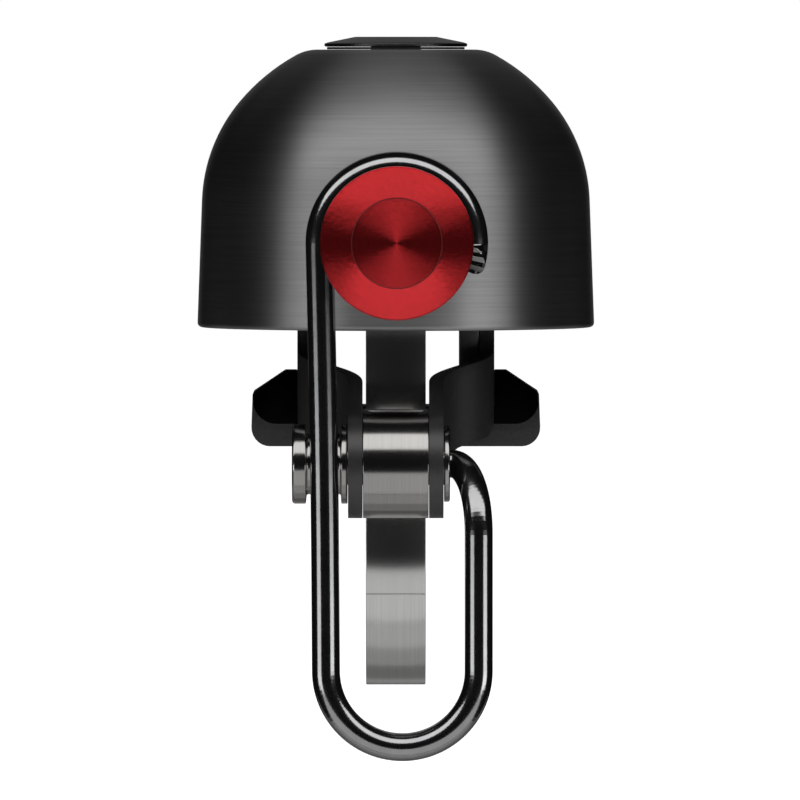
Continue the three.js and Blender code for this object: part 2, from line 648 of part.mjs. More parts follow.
function addStriker() {
  add('striker_wire', swept(wirePath(), WIRE_RADIUS, 8, 76), 'wire');

  const place = [WIRE_LOOP.x, 0, WIRE_LOOP.z];
  const front = HEAD_FRONT_Y;
  const flangeBack = front + HEAD_FLANGE_THICKNESS;
  const edge = 0.3;
  const { radius: rear, fromY, toY } = HEAD_REAR;
  const holeFloor = front + TIP_HOLE.depth;
  const head = [
    [0, front + DISH_DEPTH], [DISH_RADIUS * 0.5, front + DISH_DEPTH * 0.8],
    [DISH_RADIUS * 0.82, front + DISH_DEPTH * 0.4], [DISH_RADIUS, front], [HEAD_RADIUS - edge, front],
    [HEAD_RADIUS, front + edge], [HEAD_RADIUS, flangeBack - edge], [HEAD_RADIUS - edge, flangeBack],
    [HEAD_GROOVE_RADIUS, flangeBack], [HEAD_GROOVE_RADIUS, fromY], [rear - edge, fromY],
    [rear, fromY + edge], [rear, toY - edge], [rear - edge, toY],
    [TIP_HOLE.radius, toY], [TIP_HOLE.radius, holeFloor], [0, holeFloor],
  ];
  add('striker_head', turned(head, 'y', 32), 'head', place);
  const tip = [
    [0, holeFloor + 0.05], [TIP_PIN_RADIUS, holeFloor + 0.05], [TIP_PIN_RADIUS, TIP_BASE_Y],
    [TIP_RADIUS, TIP_BASE_Y], [TIP_RADIUS, TIP_END_Y - 0.4], [TIP_RADIUS * 0.8, TIP_END_Y - 0.1],
    [TIP_RADIUS * 0.45, TIP_END_Y], [0, TIP_END_Y],
  ];
  add('striker_tip', turned(tip, 'y', 14), 'steel', place);
}

addDome();
addBracket();
addSidePlates();
addRivets();
addSaddle();
addStrap();
addPivot();
addStriker();

export default group;
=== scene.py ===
"""A compact bicycle bell: a turned dome on a strap clamp, with a sprung wire striker in front of it.

Every piece is shaped in millimetres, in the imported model's frame, and brought to metres when it is done.
"""

import json
import logging
import math
from collections.abc import Callable, Iterable, Sequence
from dataclasses import dataclass, field
from enum import Enum

import bmesh
import bpy
from mathutils import Matrix, Vector


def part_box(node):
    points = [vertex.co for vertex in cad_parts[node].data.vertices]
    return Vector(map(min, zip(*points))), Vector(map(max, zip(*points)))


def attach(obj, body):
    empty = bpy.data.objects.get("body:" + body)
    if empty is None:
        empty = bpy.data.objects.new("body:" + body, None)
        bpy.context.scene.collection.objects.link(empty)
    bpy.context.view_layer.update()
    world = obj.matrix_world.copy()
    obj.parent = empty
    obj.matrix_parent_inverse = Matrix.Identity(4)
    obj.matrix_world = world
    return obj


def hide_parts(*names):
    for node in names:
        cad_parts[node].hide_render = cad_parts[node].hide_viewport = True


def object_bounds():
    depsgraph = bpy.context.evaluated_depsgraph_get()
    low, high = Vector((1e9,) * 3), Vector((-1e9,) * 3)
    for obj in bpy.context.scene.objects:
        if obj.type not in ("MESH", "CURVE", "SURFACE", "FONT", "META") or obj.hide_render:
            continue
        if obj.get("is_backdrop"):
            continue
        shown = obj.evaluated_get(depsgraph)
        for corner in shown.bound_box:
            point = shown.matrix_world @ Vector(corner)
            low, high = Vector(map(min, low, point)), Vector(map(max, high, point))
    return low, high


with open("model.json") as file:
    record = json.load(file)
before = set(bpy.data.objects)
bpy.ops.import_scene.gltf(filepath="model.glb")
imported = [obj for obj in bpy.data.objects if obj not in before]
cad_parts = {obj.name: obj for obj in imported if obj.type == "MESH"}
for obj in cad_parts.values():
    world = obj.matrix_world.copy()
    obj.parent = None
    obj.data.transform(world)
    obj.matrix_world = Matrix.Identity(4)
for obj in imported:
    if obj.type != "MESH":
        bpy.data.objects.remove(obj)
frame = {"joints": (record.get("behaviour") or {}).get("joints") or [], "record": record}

log = logging.getLogger("bell")

MM = 0.001
SMOOTH_ANGLE = math.radians(32)
SAME_POINT_MM = 1e-4

MARKS_ON_FLATS = 0.8  # how fast the rings of a turned finish follow its radius, against its height
MARKS_IN_TONE = 0.7  # the share of a finish's marks in its colour, the rest being its patches
TONE_RUN = (-0.6, 1.6)
PATCHES_PER_METRE = 120.0
QUARTER_TURN = 0.25

Corner = tuple[float, float, float]
Point2 = tuple[float, float]
Colour = tuple[float, float, float]


# Shaders


class Value:
    """A number, colour or vector on a shader socket. Arithmetic on it adds Math nodes."""

    def __init__(self, graph: "Graph", socket: bpy.types.NodeSocket) -> None:
        """Holds an output socket of a graph."""
        self.graph = graph
        self.socket = socket

    def maths(self, operation: str, *others: "Value | float") -> "Value":
        """Adds one Math node, which takes this value and then the others."""
        inputs = dict(enumerate((self, *others)))
        return self.graph.node("ShaderNodeMath", {"operation": operation}, inputs)

    def __add__(self, other: "Value | float") -> "Value":
        """This value plus another."""
        return self.maths("ADD", other)

    def __mul__(self, other: "Value | float") -> "Value":
        """This value times another."""
        return self.maths("MULTIPLY", other)

    def __sub__(self, other: "Value | float") -> "Value":
        """This value less another."""
        return self.maths("SUBTRACT", other)

    def root(self) -> "Value":
        """The square root."""
        return self.maths("SQRT")

    def between(self, low: float, high: float) -> "Value":
        """Runs a value of 0 to 1 from low to high, held at both ends."""
        ranges = {"From Min": 0.0, "From Max": 1.0, "To Min": low, "To Max": high}
        return self.graph.node("ShaderNodeMapRange", {"clamp": True}, {"Value": self, **ranges})


class Graph:
    """The nodes of one material or of the world."""

    def __init__(self, owner: "bpy.types.Material | bpy.types.World") -> None:
        """Starts the owner's graph afresh."""
        owner.use_nodes = True
        self.tree = owner.node_tree
        self.tree.nodes.clear()

    def node(self, kind: str, settings: dict | None = None, inputs: dict | None = None,
             output: int | str = 0) -> "Value | None":
        """Adds any node.

        Args:
            kind: The node's type.
            settings: Its settings, by name.
            inputs: Values or links of its sockets, by name or number.
            output: The output to return.

        Returns:
            The chosen output, or None of a node that has none.
        """
        made = self.tree.nodes.new(kind)
        for key, setting in (settings or {}).items():
            setattr(made, key, setting)
        for key, given in (inputs or {}).items():
            if isinstance(given, Value):
                self.tree.links.new(given.socket, made.inputs[key])
            else:
                made.inputs[key].default_value = given
        return Value(self, made.outputs[output]) if made.outputs else None

    def place(self) -> Value:
        """The place on the piece that is shaded, in its own coordinates."""
        return self.node("ShaderNodeTexCoord", None, None, "Object")

    def axes(self) -> list[Value]:
        """The X, Y and Z of that place, in metres."""
        place = self.place()
        return [self.node("ShaderNodeSeparateXYZ", None, {0: place}, axis) for axis in ("X", "Y", "Z")]

    def noise(self, vector: Value, detail: float = 3.0, roughness: float = 0.55) -> Value:
        """Noise of unit scale at a place, about 0.5."""
        numbers = {"Scale": 1.0, "Detail": detail, "Roughness": roughness}
        return self.node("ShaderNodeTexNoise", None, {"Vector": vector, **numbers})

    def mixed(self, factor: Value, first: Colour, second: Colour) -> Value:
        """A colour between two, by a factor of 0 to 1."""
        inputs = {0: factor, 6: (*first, 1.0), 7: (*second, 1.0)}
        return self.node("ShaderNodeMix", {"data_type": "RGBA"}, inputs, 2)


class Grain(Enum):
    """How the marks of a finish lie on a piece."""

    ROUND_Z = "turned about the Z axis"
    ROUND_X = "turned about an X axis, or brushed across it"
    EVEN = "the same all ways"


@dataclass(frozen=True)
class Finish:
    """A metal, plastic or rubber finish, with its marks and its uneven gloss.

    Colours are linear. mark_mm is the width of one mark and run_mm its length.
    """

    name: str
    colour: Colour
    deep_colour: Colour
    roughness: float
    metallic: float = 1.0
    grain: Grain = Grain.EVEN
    mark_mm: float = 0.25
    run_mm: float = 12.0
    depth_mm: float = 0.004
    gloss_spread: float = 0.08
    anisotropy: float = 0.0
    specular: float = 0.5

    def _marks(self, graph: Graph) -> Value:
        """The pattern of marks, as a value about 0.5."""
        x, y, z = graph.axes()
        fine, long = 1.0 / (self.mark_mm * MM), 1.0 / (self.run_mm * MM)
        if self.grain is Grain.ROUND_Z:
            radius = (x * x + y * y).root()
            scaled = (x * long, y * long, (z - radius * MARKS_ON_FLATS) * fine)
        elif self.grain is Grain.ROUND_X:
            scaled = (x * fine, y * long, z * long)
        else:
            scaled = (x * fine, y * fine, z * fine)
        return graph.noise(graph.node("ShaderNodeCombineXYZ", None, dict(enumerate(scaled))))

    def _patches(self, graph: Graph) -> Value:
        """Broad soft patches, as a value about 0.5."""
        scale = (PATCHES_PER_METRE,) * 3
        broad = graph.node("ShaderNodeMapping", None, {"Vector": graph.place(), "Scale": scale})
        return graph.noise(broad, 2.0, 0.5)

    def _height(self, graph: Graph, marks: Value) -> Value:
        """How high the surface stands at a place, in metres."""
        return marks * (self.depth_mm * MM)

    def material(self) -> bpy.types.Material:
        """The finish as a material, made once."""
        title = f"fine_{self.name}"
        known = bpy.data.materials.get(title)
        if known:
            return known
        made = bpy.data.materials.new(title)
        graph = Graph(made)
        marks = self._marks(graph)
        patches = self._patches(graph)
        tone = marks * MARKS_IN_TONE + patches * (1.0 - MARKS_IN_TONE)
        colour = graph.mixed(tone.between(*TONE_RUN), self.deep_colour, self.colour)
        low, high = self.roughness - self.gloss_spread, self.roughness + self.gloss_spread
        gloss = (marks * 0.5 + patches * 0.5).between(low, high)
        bump = {"Strength": 1.0, "Distance": 1.0, "Height": self._height(graph, marks)}
        surface = graph.node("ShaderNodeBsdfPrincipled", None, {
            "Base Color": colour,
            "Roughness": gloss,
            "Normal": graph.node("ShaderNodeBump", None, bump),
            "Metallic": self.metallic,
            "Anisotropic": self.anisotropy,
            "Anisotropic Rotation": QUARTER_TURN if self.anisotropy else 0.0,
            "Specular IOR Level": self.specular,
        })
        graph.node("ShaderNodeOutputMaterial", None, {"Surface": surface})
        return made


@dataclass(frozen=True)
class TurnedFace(Finish):
    """A face turned about a Y axis, in fine V grooves whose sides stand at a set slope.

    The slope is one inside a circle and another outside it.
    """

    centre_mm: Point2 = (0.0, 0.0)
    split_mm: float = 4.3
    pitch_mm: float = 0.07
    wander_mm: float = 0.04
    inner_slope: float = 0.28
    outer_slope: float = 0.42

    def _height(self, graph: Graph, marks: Value) -> Value:
        """The grooves' height at a place, in metres."""
        x, _, z = graph.axes()
        x, z = x - self.centre_mm[0] * MM, z - self.centre_mm[1] * MM
        radius = (x * x + z * z).root()
        outside = radius.maths("GREATER_THAN", self.split_mm * MM)
        slope = outside * (self.outer_slope - self.inner_slope) + self.inner_slope
        wandering = radius + marks * (self.wander_mm * MM)
        return wandering.maths("PINGPONG", self.pitch_mm * MM / 2) * slope


DOME_METAL = Finish(
    "brushed_dark_dome", (0.42, 0.42, 0.42), (0.32, 0.32, 0.32), 0.42, grain=Grain.ROUND_Z, mark_mm=0.2,
    run_mm=14.0, depth_mm=0.0012, gloss_spread=0.04, anisotropy=0.75,
)
CAP_METAL = Finish(
    "black_cap_metal", (0.2, 0.2, 0.2), (0.1, 0.1, 0.1), 0.24, grain=Grain.ROUND_Z, mark_mm=0.2,
    depth_mm=0.001,
)
BLACK_CHROME = Finish(
    "black_chrome", (0.42, 0.42, 0.425), (0.34, 0.34, 0.345), 0.15, mark_mm=1.4, depth_mm=0.0006,
    gloss_spread=0.02,
)
RED_ANODISED = TurnedFace(
    "red_anodised", (0.7, 0.036, 0.042), (0.6, 0.03, 0.034), 0.21, metallic=0.9, mark_mm=0.3,
    gloss_spread=0.03, centre_mm=(0.1, 29.5),
)
BARREL_METAL = Finish(
    "turned_barrel_metal", (0.44, 0.43, 0.415), (0.36, 0.352, 0.34), 0.16, grain=Grain.ROUND_X,
    mark_mm=0.05, run_mm=10.0, depth_mm=0.002, gloss_spread=0.03,
)
STRAP_METAL = Finish(
    "brushed_strap_metal", (0.74, 0.74, 0.72), (0.62, 0.62, 0.605), 0.2, grain=Grain.ROUND_X,
    mark_mm=0.05, run_mm=14.0, depth_mm=0.0045, gloss_spread=0.03,
)
ZINC = Finish(
    "zinc_plated_steel", (0.62, 0.63, 0.65), (0.42, 0.43, 0.45), 0.34, mark_mm=0.5, depth_mm=0.002,
)
SATIN_BLACK = Finish(
    "satin_black_paint", (0.036, 0.035, 0.033), (0.02, 0.0195, 0.019), 0.38, metallic=0.0, mark_mm=0.3,
    depth_mm=0.002, gloss_spread=0.05, specular=0.8,
)
NYLON = Finish(
    "black_nylon", (0.048, 0.048, 0.048), (0.026, 0.026, 0.026), 0.5, metallic=0.0, mark_mm=0.22,
    depth_mm=0.008,
)
# Near-black, almost unreflective nylon for the wings' pocket faces. This is painted shade: the real pocket
# is the saddle's own nylon and only looks black because it lies in the dome's shade.
POCKET_PAINTED_SHADE = Finish(
    "nylon_painted_pocket_shade", (0.002, 0.002, 0.002), (0.001, 0.001, 0.001), 0.6, metallic=0.0, mark_mm=0.22,
    depth_mm=0.004, specular=0.05,
)
RUBBER = Finish(
    "black_rubber", (0.022, 0.022, 0.022), (0.012, 0.012, 0.012), 0.8, metallic=0.0, mark_mm=0.35,
    depth_mm=0.012,
)


# Outlines


def arc(centre: Point2, radius: float, start: float, end: float, steps: int) -> list[Point2]:
    """Points of a circular arc between two angles in degrees, both ends included."""
    angles = [math.radians(start + (end - start) * i / steps) for i in range(steps + 1)]
    return [(centre[0] + radius * math.cos(a), centre[1] + radius * math.sin(a)) for a in angles]


def eased(corners: Sequence[Corner], closed: bool = True, steps: int = 5) -> list[Point2]:
    """Rounds the corners of an outline.

    Args:
        corners: Corners as (x, y, rounding radius).
        closed: Whether the outline closes on itself.
        steps: Chords in each rounded corner.

    Returns:
        The outline's points.
    """
    points: list[Point2] = []
    count = len(corners)
    for i, (x, y, radius) in enumerate(corners):
        here = Vector((x, y))
        if radius <= 0 or (not closed and i in (0, count - 1)):
            points.append((x, y))
            continue
        before = (Vector(corners[i - 1][:2]) - here).normalized()
        after = (Vector(corners[(i + 1) % count][:2]) - here).normalized()
        half = before.angle(after) / 2
        centre = here + (before + after).normalized() * (radius / math.sin(half))
        first = here + before * (radius / math.tan(half)) - centre
        last = here + after * (radius / math.tan(half)) - centre
        turn = first.angle_signed(last)
        for step in range(steps + 1):
            spoke = first.copy()
            spoke.rotate(Matrix.Rotation(-turn * step / steps, 2))
            points.append(tuple(centre + spoke))
    return points


def flat(points: Iterable[Point2]) -> list[Corner]:
    """Points as corners with no rounding."""
    return [(x, y, 0.0) for x, y in points]


def hexagon(flats: float) -> list[Point2]:
    """A hexagon of a given size across its flats."""
    return arc((0.0, 0.0), flats / math.sqrt(3), 0.0, 300.0, 5)


# Tools of the bench


class Axis(Enum):
    """The axis that a shape drawn along Z is turned to. The value tells where x, y and z go."""

    X = (1, 2, 0)
    Y = (2, 0, 1)
    Z = (0, 1, 2)

    def turn(self) -> Matrix:
        """The turn as a matrix."""
        matrix = Matrix.Diagonal((0.0, 0.0, 0.0, 1.0))
        for source, target in enumerate(self.value):
            matrix[target][source] = 1.0
        return matrix


class Cut(Enum):
    """What becomes of two solids."""

    TAKE_OFF = "DIFFERENCE"
    KEEP_COMMON = "INTERSECT"


class Stock:
    """A piece of stock on the bench: a closed bmesh in millimetres."""

    DRILL_LENGTH = 120.0

    def __init__(self) -> None:
        """Starts with nothing."""
        self.bm = bmesh.new()

    @classmethod
    def turned(cls, profile: Sequence[Point2], steps: int = 96) -> "Stock":
        """Turns a profile about Z.

        Args:
            profile: (radius, height) points that start and end on the axis, or that close into a ring.
            steps: How many steps the full turn has.

        Returns:
            The turned solid.
        """
        made = cls()
        verts = [made.bm.verts.new((radius, 0.0, height)) for radius, height in profile]
        ring = profile[0][0] > 0
        pairs = list(zip(verts, verts[1:] + verts[:1]))
        edges = [made.bm.edges.new(pair) for pair in (pairs if ring else pairs[:-1])]
        bmesh.ops.spin(
            made.bm, geom=verts + edges, cent=(0, 0, 0), axis=(0, 0, 1), angle=2 * math.pi, steps=steps,
            use_merge=True, use_duplicate=False,
        )
        return made.cleaned()

    @classmethod
    def slab(cls, outline: Sequence[Point2], low: float, high: float,
             holes: Sequence[Sequence[Point2]] = ()) -> "Stock":
        """A slab of an outline, from one height to another.

        Args:
            outline: The outer edge.
            low: The height of its underside.
            high: The height of its top.
            holes: Outlines of through holes.

        Returns:
            The slab.
        """
        made = cls()
        edges = []
        for loop in (outline, *holes):
            verts = [made.bm.verts.new((x, y, low)) for x, y in loop]
            edges += [made.bm.edges.new(pair) for pair in zip(verts, verts[1:] + verts[:1])]
        if holes:
            bmesh.ops.triangle_fill(made.bm, use_beauty=True, use_dissolve=False, edges=edges)
        else:
            bmesh.ops.contextual_create(made.bm, geom=edges)
        made.bm.normal_update()
        raised = bmesh.ops.extrude_face_region(made.bm, geom=made.bm.faces[:])["geom"]
        top = [item for item in raised if isinstance(item, bmesh.types.BMVert)]
        bmesh.ops.translate(made.bm, verts=top, vec=(0, 0, high - low))
        return made.cleaned()

    @classmethod
    def block(cls, low: Vector, high: Vector) -> "Stock":
        """A square block between two corners."""
        made = cls()
        bmesh.ops.create_cube(made.bm, size=1.0)
        return made._every(bmesh.ops.scale, vec=high - low).moved(*(low + high) / 2)

    @classmethod
    def bent_rod(cls, line: Sequence[Vector], radius: float, sides: int, ends: float) -> "Stock":
        """Draws round wire along a line.

        Args:
            line: The wire's centre line.
            radius: The wire's radius.
            sides: How many sides its section has.
            ends: The chamfer at its two ends.

        Returns:
            The wire.
        """
        made = cls()
        bm = made.bm
        bmesh.ops.create_circle(bm, cap_ends=True, segments=sides, radius=radius)
        heading = Vector((0.0, 0.0, 1.0))
        place = Vector()
        end_face = bm.faces[:][0]
        first_edges = list(end_face.edges)
        for i, point in enumerate(line):
            ahead = line[min(i + 1, len(line) - 1)] - line[max(i - 1, 0)]
            ahead.normalize()
            if i:
                grown = bmesh.ops.extrude_face_region(bm, geom=[end_face])["geom"]
                end_face = next(item for item in grown if isinstance(item, bmesh.types.BMFace))
            turn = heading.rotation_difference(ahead).to_matrix()
            verts = list(end_face.verts)
            bmesh.ops.rotate(bm, verts=verts, cent=place, matrix=turn)
            bmesh.ops.translate(bm, verts=verts, vec=point - place)
            heading, place = ahead, point
        rims = [edge for edge in first_edges if edge.is_valid] + list(end_face.edges)
        bmesh.ops.bevel(bm, geom=rims, offset=ends, segments=3, affect="EDGES", profile=0.5, material=-1)
        return made.cleaned()

    def cleaned(self) -> "Stock":
        """Merges doubled points and turns every face outwards."""
        bmesh.ops.remove_doubles(self.bm, verts=self.bm.verts[:], dist=SAME_POINT_MM)
        bmesh.ops.recalc_face_normals(self.bm, faces=self.bm.faces[:])
        return self

    def _every(self, operation: Callable, **settings: object) -> "Stock":
        """Applies a bmesh operator to every point."""
        operation(self.bm, verts=self.bm.verts[:], **settings)
        return self

    def along(self, axis: Axis) -> "Stock":
        """Turns the stock from Z to another axis."""
        return self._every(bmesh.ops.transform, matrix=axis.turn())

    def across_front(self) -> "Stock":
        """Stands a slab up, so that its outline is (x, z) and its height runs towards -Y."""
        turn = Matrix(((1, 0, 0, 0), (0, 0, -1, 0), (0, 1, 0, 0), (0, 0, 0, 1)))
        return self._every(bmesh.ops.transform, matrix=turn)

    def moved(self, x: float = 0.0, y: float = 0.0, z: float = 0.0) -> "Stock":
        """Moves the stock."""
        return self._every(bmesh.ops.translate, vec=(x, y, z))

    def copied(self) -> "Stock":
        """Another piece of the same shape."""
        twin = Stock()
        twin.bm.free()
        twin.bm = self.bm.copy()
        return twin

    def mirrored(self, axis: Axis = Axis.X) -> "Stock":
        """The same shape for the other hand, across an axis."""
        signs = [-1 if name == axis.name else 1 for name in "XYZ"]
        return self._every(bmesh.ops.scale, vec=signs).cleaned()

    def trimmed(self, place: Vector, normal: Vector, reach: float) -> "Stock":
        """Cuts an end off square to a direction.

        Args:
            place: A point of the cut.
            normal: The way that the cut faces.
            reach: How far from the point the cut is made.

        Returns:
            The same stock, with the end closed.
        """
        faces = [face for face in self.bm.faces if (face.calc_center_median() - place).length < reach]
        edges = {edge for face in faces for edge in face.edges}
        verts = {vert for face in faces for vert in face.verts}
        bmesh.ops.bisect_plane(
            self.bm, geom=[*verts, *edges, *faces], plane_co=place, plane_no=normal, clear_outer=True,
        )
        bmesh.ops.holes_fill(self.bm, edges=[edge for edge in self.bm.edges if edge.is_boundary])
        return self.cleaned()

    def broken_edges(self, width: float, segments: int = 2, sharper_than: float = 35.0,
                     where: Callable[[Vector], bool] | None = None) -> "Stock":
        """Rounds the sharp edges over.

        Args:
            width: The width of the rounding.
            segments: How many faces it has.
            sharper_than: Edges bent more than this are sharp, in degrees.
            where: If given, says of an edge's middle whether the edge is taken.

        Returns:
            The same stock.
        """
        limit = math.radians(sharper_than)
        sharp = [edge for edge in self.bm.edges if edge.is_manifold and edge.calc_face_angle(0.0) > limit]
        if where:
            sharp = [edge for edge in sharp if where((edge.verts[0].co + edge.verts[1].co) / 2)]
        bmesh.ops.bevel(
            self.bm, geom=sharp, offset=width, segments=segments, affect="EDGES", profile=0.5,
            material=-1, clamp_overlap=True,
        )
        return self

    def _on_bench(self) -> bpy.types.Object:
        """The stock as an object for a modifier to work on."""
        mesh = bpy.data.meshes.new("bench")
        self.bm.to_mesh(mesh)
        held = bpy.data.objects.new("bench", mesh)
        bpy.context.scene.collection.objects.link(held)
        return held

    def combined(self, tool: "Stock", cut: Cut) -> "Stock":
        """Cuts the stock with another solid.

        Args:
            tool: The other solid.
            cut: What is kept.

        Returns:
            The same stock, cut.
        """
        held, cutter = self._on_bench(), tool._on_bench()
        modifier = held.modifiers.new("cut", "BOOLEAN")
        modifier.operation = cut.value
        modifier.solver = "EXACT"
        modifier.object = cutter
        seen = held.evaluated_get(bpy.context.evaluated_depsgraph_get())
        result = bpy.data.meshes.new_from_object(seen)
        self.bm.clear()
        self.bm.from_mesh(result)
        for used in (held, cutter):
            mesh = used.data
            bpy.data.objects.remove(used)
            bpy.data.meshes.remove(mesh)
        bpy.data.meshes.remove(result)
        return self.cleaned()

    def bored(self, radius: float, axis: Axis, place: Vector = Vector(), steps: int = 48) -> "Stock":
        """Bores a round hole right through along an axis, at a place."""
        half = self.DRILL_LENGTH / 2
        drill = Stock.turned([(0.0, -half), (radius, -half), (radius, half), (0.0, half)], steps)
        drill.along(axis).moved(*place)
        return self.combined(drill, Cut.TAKE_OFF)

    def socketed(self, flats: float, low: float, high: float, axis: Axis = Axis.Z) -> "Stock":
        """Sinks a hexagon socket between two heights along an axis."""
        return self.combined(Stock.slab(hexagon(flats), low, high).along(axis), Cut.TAKE_OFF)

    def finished(self, node: str, finish: Finish, other: Finish | None = None,
                 where: Callable[[Vector, Vector], bool] | None = None) -> bpy.types.Object:
        """Brings the piece to metres and puts it in place of a CAD node.

        Args:
            node: The CAD node that it stands for, whose body it takes.
            finish: What it is finished in.
            other: A second finish, for some of its faces.
            where: Says of a face's middle and normal whether it has the second finish.

        Returns:
            The finished piece.
        """
        record = frame["record"]
        for face in self.bm.faces:
            face.material_index = int(bool(where and where(face.calc_center_median(), face.normal)))
        self._every(bmesh.ops.scale, vec=(MM, MM, MM))
        mesh = bpy.data.meshes.new(f"fine_{node}")
        self.bm.to_mesh(mesh)
        self.bm.free()
        mesh.shade_smooth()
        mesh.set_sharp_from_angle(angle=SMOOTH_ANGLE)
        for used in filter(None, (finish, other)):
            mesh.materials.append(used.material())
        piece = bpy.data.objects.new(f"fine_{node}", mesh)
        bpy.context.scene.collection.objects.link(piece)
        body = next(name for name, nodes in record["behaviour"]["bodies"].items() if node in nodes)
        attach(piece, body)
        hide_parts(node)
        log.info("%s rides on %s: %d faces", piece.name, body, len(mesh.polygons))
        return piece


def box_mm(node: str) -> tuple[Vector, Vector]:
    """The lowest and highest corners of a CAD node, in millimetres."""
    low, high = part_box(node)
    return low / MM, high / MM


def pivot_mm() -> Vector:
    """The striker's pivot, in millimetres."""
    joint = next(joint for joint in frame["joints"] if joint["name"] == "striker_swing")
    return Vector(joint["pos_m"]) / MM


# Sub-assemblies


@dataclass
class DomeAndPost:
    """The dome, the cap screw that holds it and the post that it stands on."""

    wall: float = 1.7
    skirt: float = 12.2
    taper: float = 2.07
    crown: tuple[tuple[float, float, int], ...] = ((15.55, 40.0, 16), (19.1, 61.0, 8), (4.3, 90.0, 12))
    rim_rounding: Point2 = (0.55, 0.45)
    hole_radius: float = 3.6
    hole_rounding: float = 0.15
    neck_gap: float = 0.06
    flange: float = 0.9
    head_height: float = 0.95
    head_flat: float = 3.9
    screw_radius: float = 2.4
    screw_bore: float = 2.5
    thread_pitch: float = 0.8
    thread_depth: float = 0.22
    thread_top: float = 33.0
    thread_steps: int = 8
    screw_chamfer: float = 0.5
    socket_flats: float = 3.0
    socket_depth: float = 2.4

    def _wall(self, rim_radius: float, rim_z: float, inset: float) -> list[Point2]:
        """One wall's profile, from the rim to the flat top, set in by an inset."""
        angle = self.taper
        slope = math.tan(math.radians(angle))
        points = [(rim_radius - inset / math.cos(math.radians(angle)), rim_z)]
        x, z = rim_radius - slope * self.skirt, rim_z + self.skirt
        for radius, to_angle, steps in self.crown:
            start, end = math.radians(angle), math.radians(to_angle)
            centre = (x - radius * math.cos(start), z - radius * math.sin(start))
            stretch = arc(centre, radius - inset, angle, to_angle, steps)
            points += stretch[0 if len(points) == 1 else 1:]
            x, z = centre[0] + radius * math.cos(end), centre[1] + radius * math.sin(end)
            angle = to_angle
        return points

    def dome(self) -> None:
        """The turned shell with its rounded rim and its top hole."""
        low, high = box_mm("dome")
        outer = self._wall(high.x, low.z, 0.0)
        inner = self._wall(high.x, low.z, self.wall)
        top = outer[-1][1]
        corners = [
            (*inner[0], self.rim_rounding[0]), (*outer[0], self.rim_rounding[1]), *flat(outer[1:]),
            (self.hole_radius, top, self.hole_rounding), (self.hole_radius, top - self.wall, 0.0),
            *flat(reversed(inner[1:])),
        ]
        Stock.turned(eased(corners), 192).finished("dome", DOME_METAL)

    def _threaded(self, stock: Stock, low: float) -> None:
        """Forms the screw's thread by moving the points of its shank."""
        for vert in stock.bm.verts:
            if not low + self.screw_chamfer < vert.co.z < self.thread_top:
                continue
            turn = math.atan2(vert.co.y, vert.co.x) / (2 * math.pi)
            phase = (vert.co.z / self.thread_pitch - turn) % 1.0
            root = self.thread_depth * abs(2.0 * phase - 1.0)
            scale = (self.screw_radius - root) / self.screw_radius
            vert.co.x *= scale
            vert.co.y *= scale

    def cap_screw(self) -> None:
        """The low wide screw, with its socket and its thread."""
        low, high = box_mm("cap_screw")
        head, under = high.x, high.z - self.head_height
        step = self.thread_pitch / self.thread_steps
        shank_end = low.z + self.screw_chamfer - 0.05
        rings = int((self.thread_top - low.z) / step)
        shank = [(self.screw_radius, shank_end + i * step) for i in range(rings)]
        outline = eased([
            (0.0, low.z, 0.0), (self.screw_radius - self.screw_chamfer, low.z, 0.0), *flat(shank),
            (self.screw_radius, under, 0.0), (head - 0.12, under, 0.0), (head, under + 0.1, 0.05),
            (head, under + 0.3, 0.1), (head - 0.35, under + 0.42, 0.3), (self.head_flat, high.z, 1.6),
            (0.0, high.z, 0.0),
        ], closed=False)
        stock = Stock.turned(outline, 72)
        self._threaded(stock, low.z)
        stock.socketed(self.socket_flats, high.z - self.socket_depth, high.z + 1.0)
        stock.finished("cap_screw", CAP_METAL)

    def _ring(self, node: str, corners: Sequence[Corner], finish: Finish, steps: int = 72) -> None:
        """Turns one ring of the stack and finishes it."""
        Stock.turned(eased(corners, steps=3), steps).finished(node, finish)

    def rings(self) -> None:
        """The washer, the insulating bush and the post sleeve."""
        bore = self.screw_bore
        low, high = box_mm("cap_washer")
        self._ring("cap_washer", [
            (bore, low.z, 0), (high.x, low.z, 0.06), (high.x, high.z, 0.06), (bore, high.z, 0),
        ], NYLON, 96)
        low, high = box_mm("dome_bush")
        neck, flange_top = self.hole_radius - self.neck_gap, low.z + self.flange
        self._ring("dome_bush", [
            (bore, low.z, 0.1), (high.x, low.z, 0.25), (high.x, flange_top, 0.1),
            (neck, flange_top, 0), (neck, high.z, 0.05), (bore, high.z, 0.05),
        ], NYLON)
        low, high = box_mm("post_sleeve")
        self._ring("post_sleeve", [
            (bore, low.z, 0.15), (high.y, low.z, 0.3), (high.y, high.z, 0.3), (bore, high.z, 0.15),
        ], ZINC)

    def build(self) -> None:
        """Makes every piece of the dome and post."""
        self.dome()
        self.cap_screw()
        self.rings()


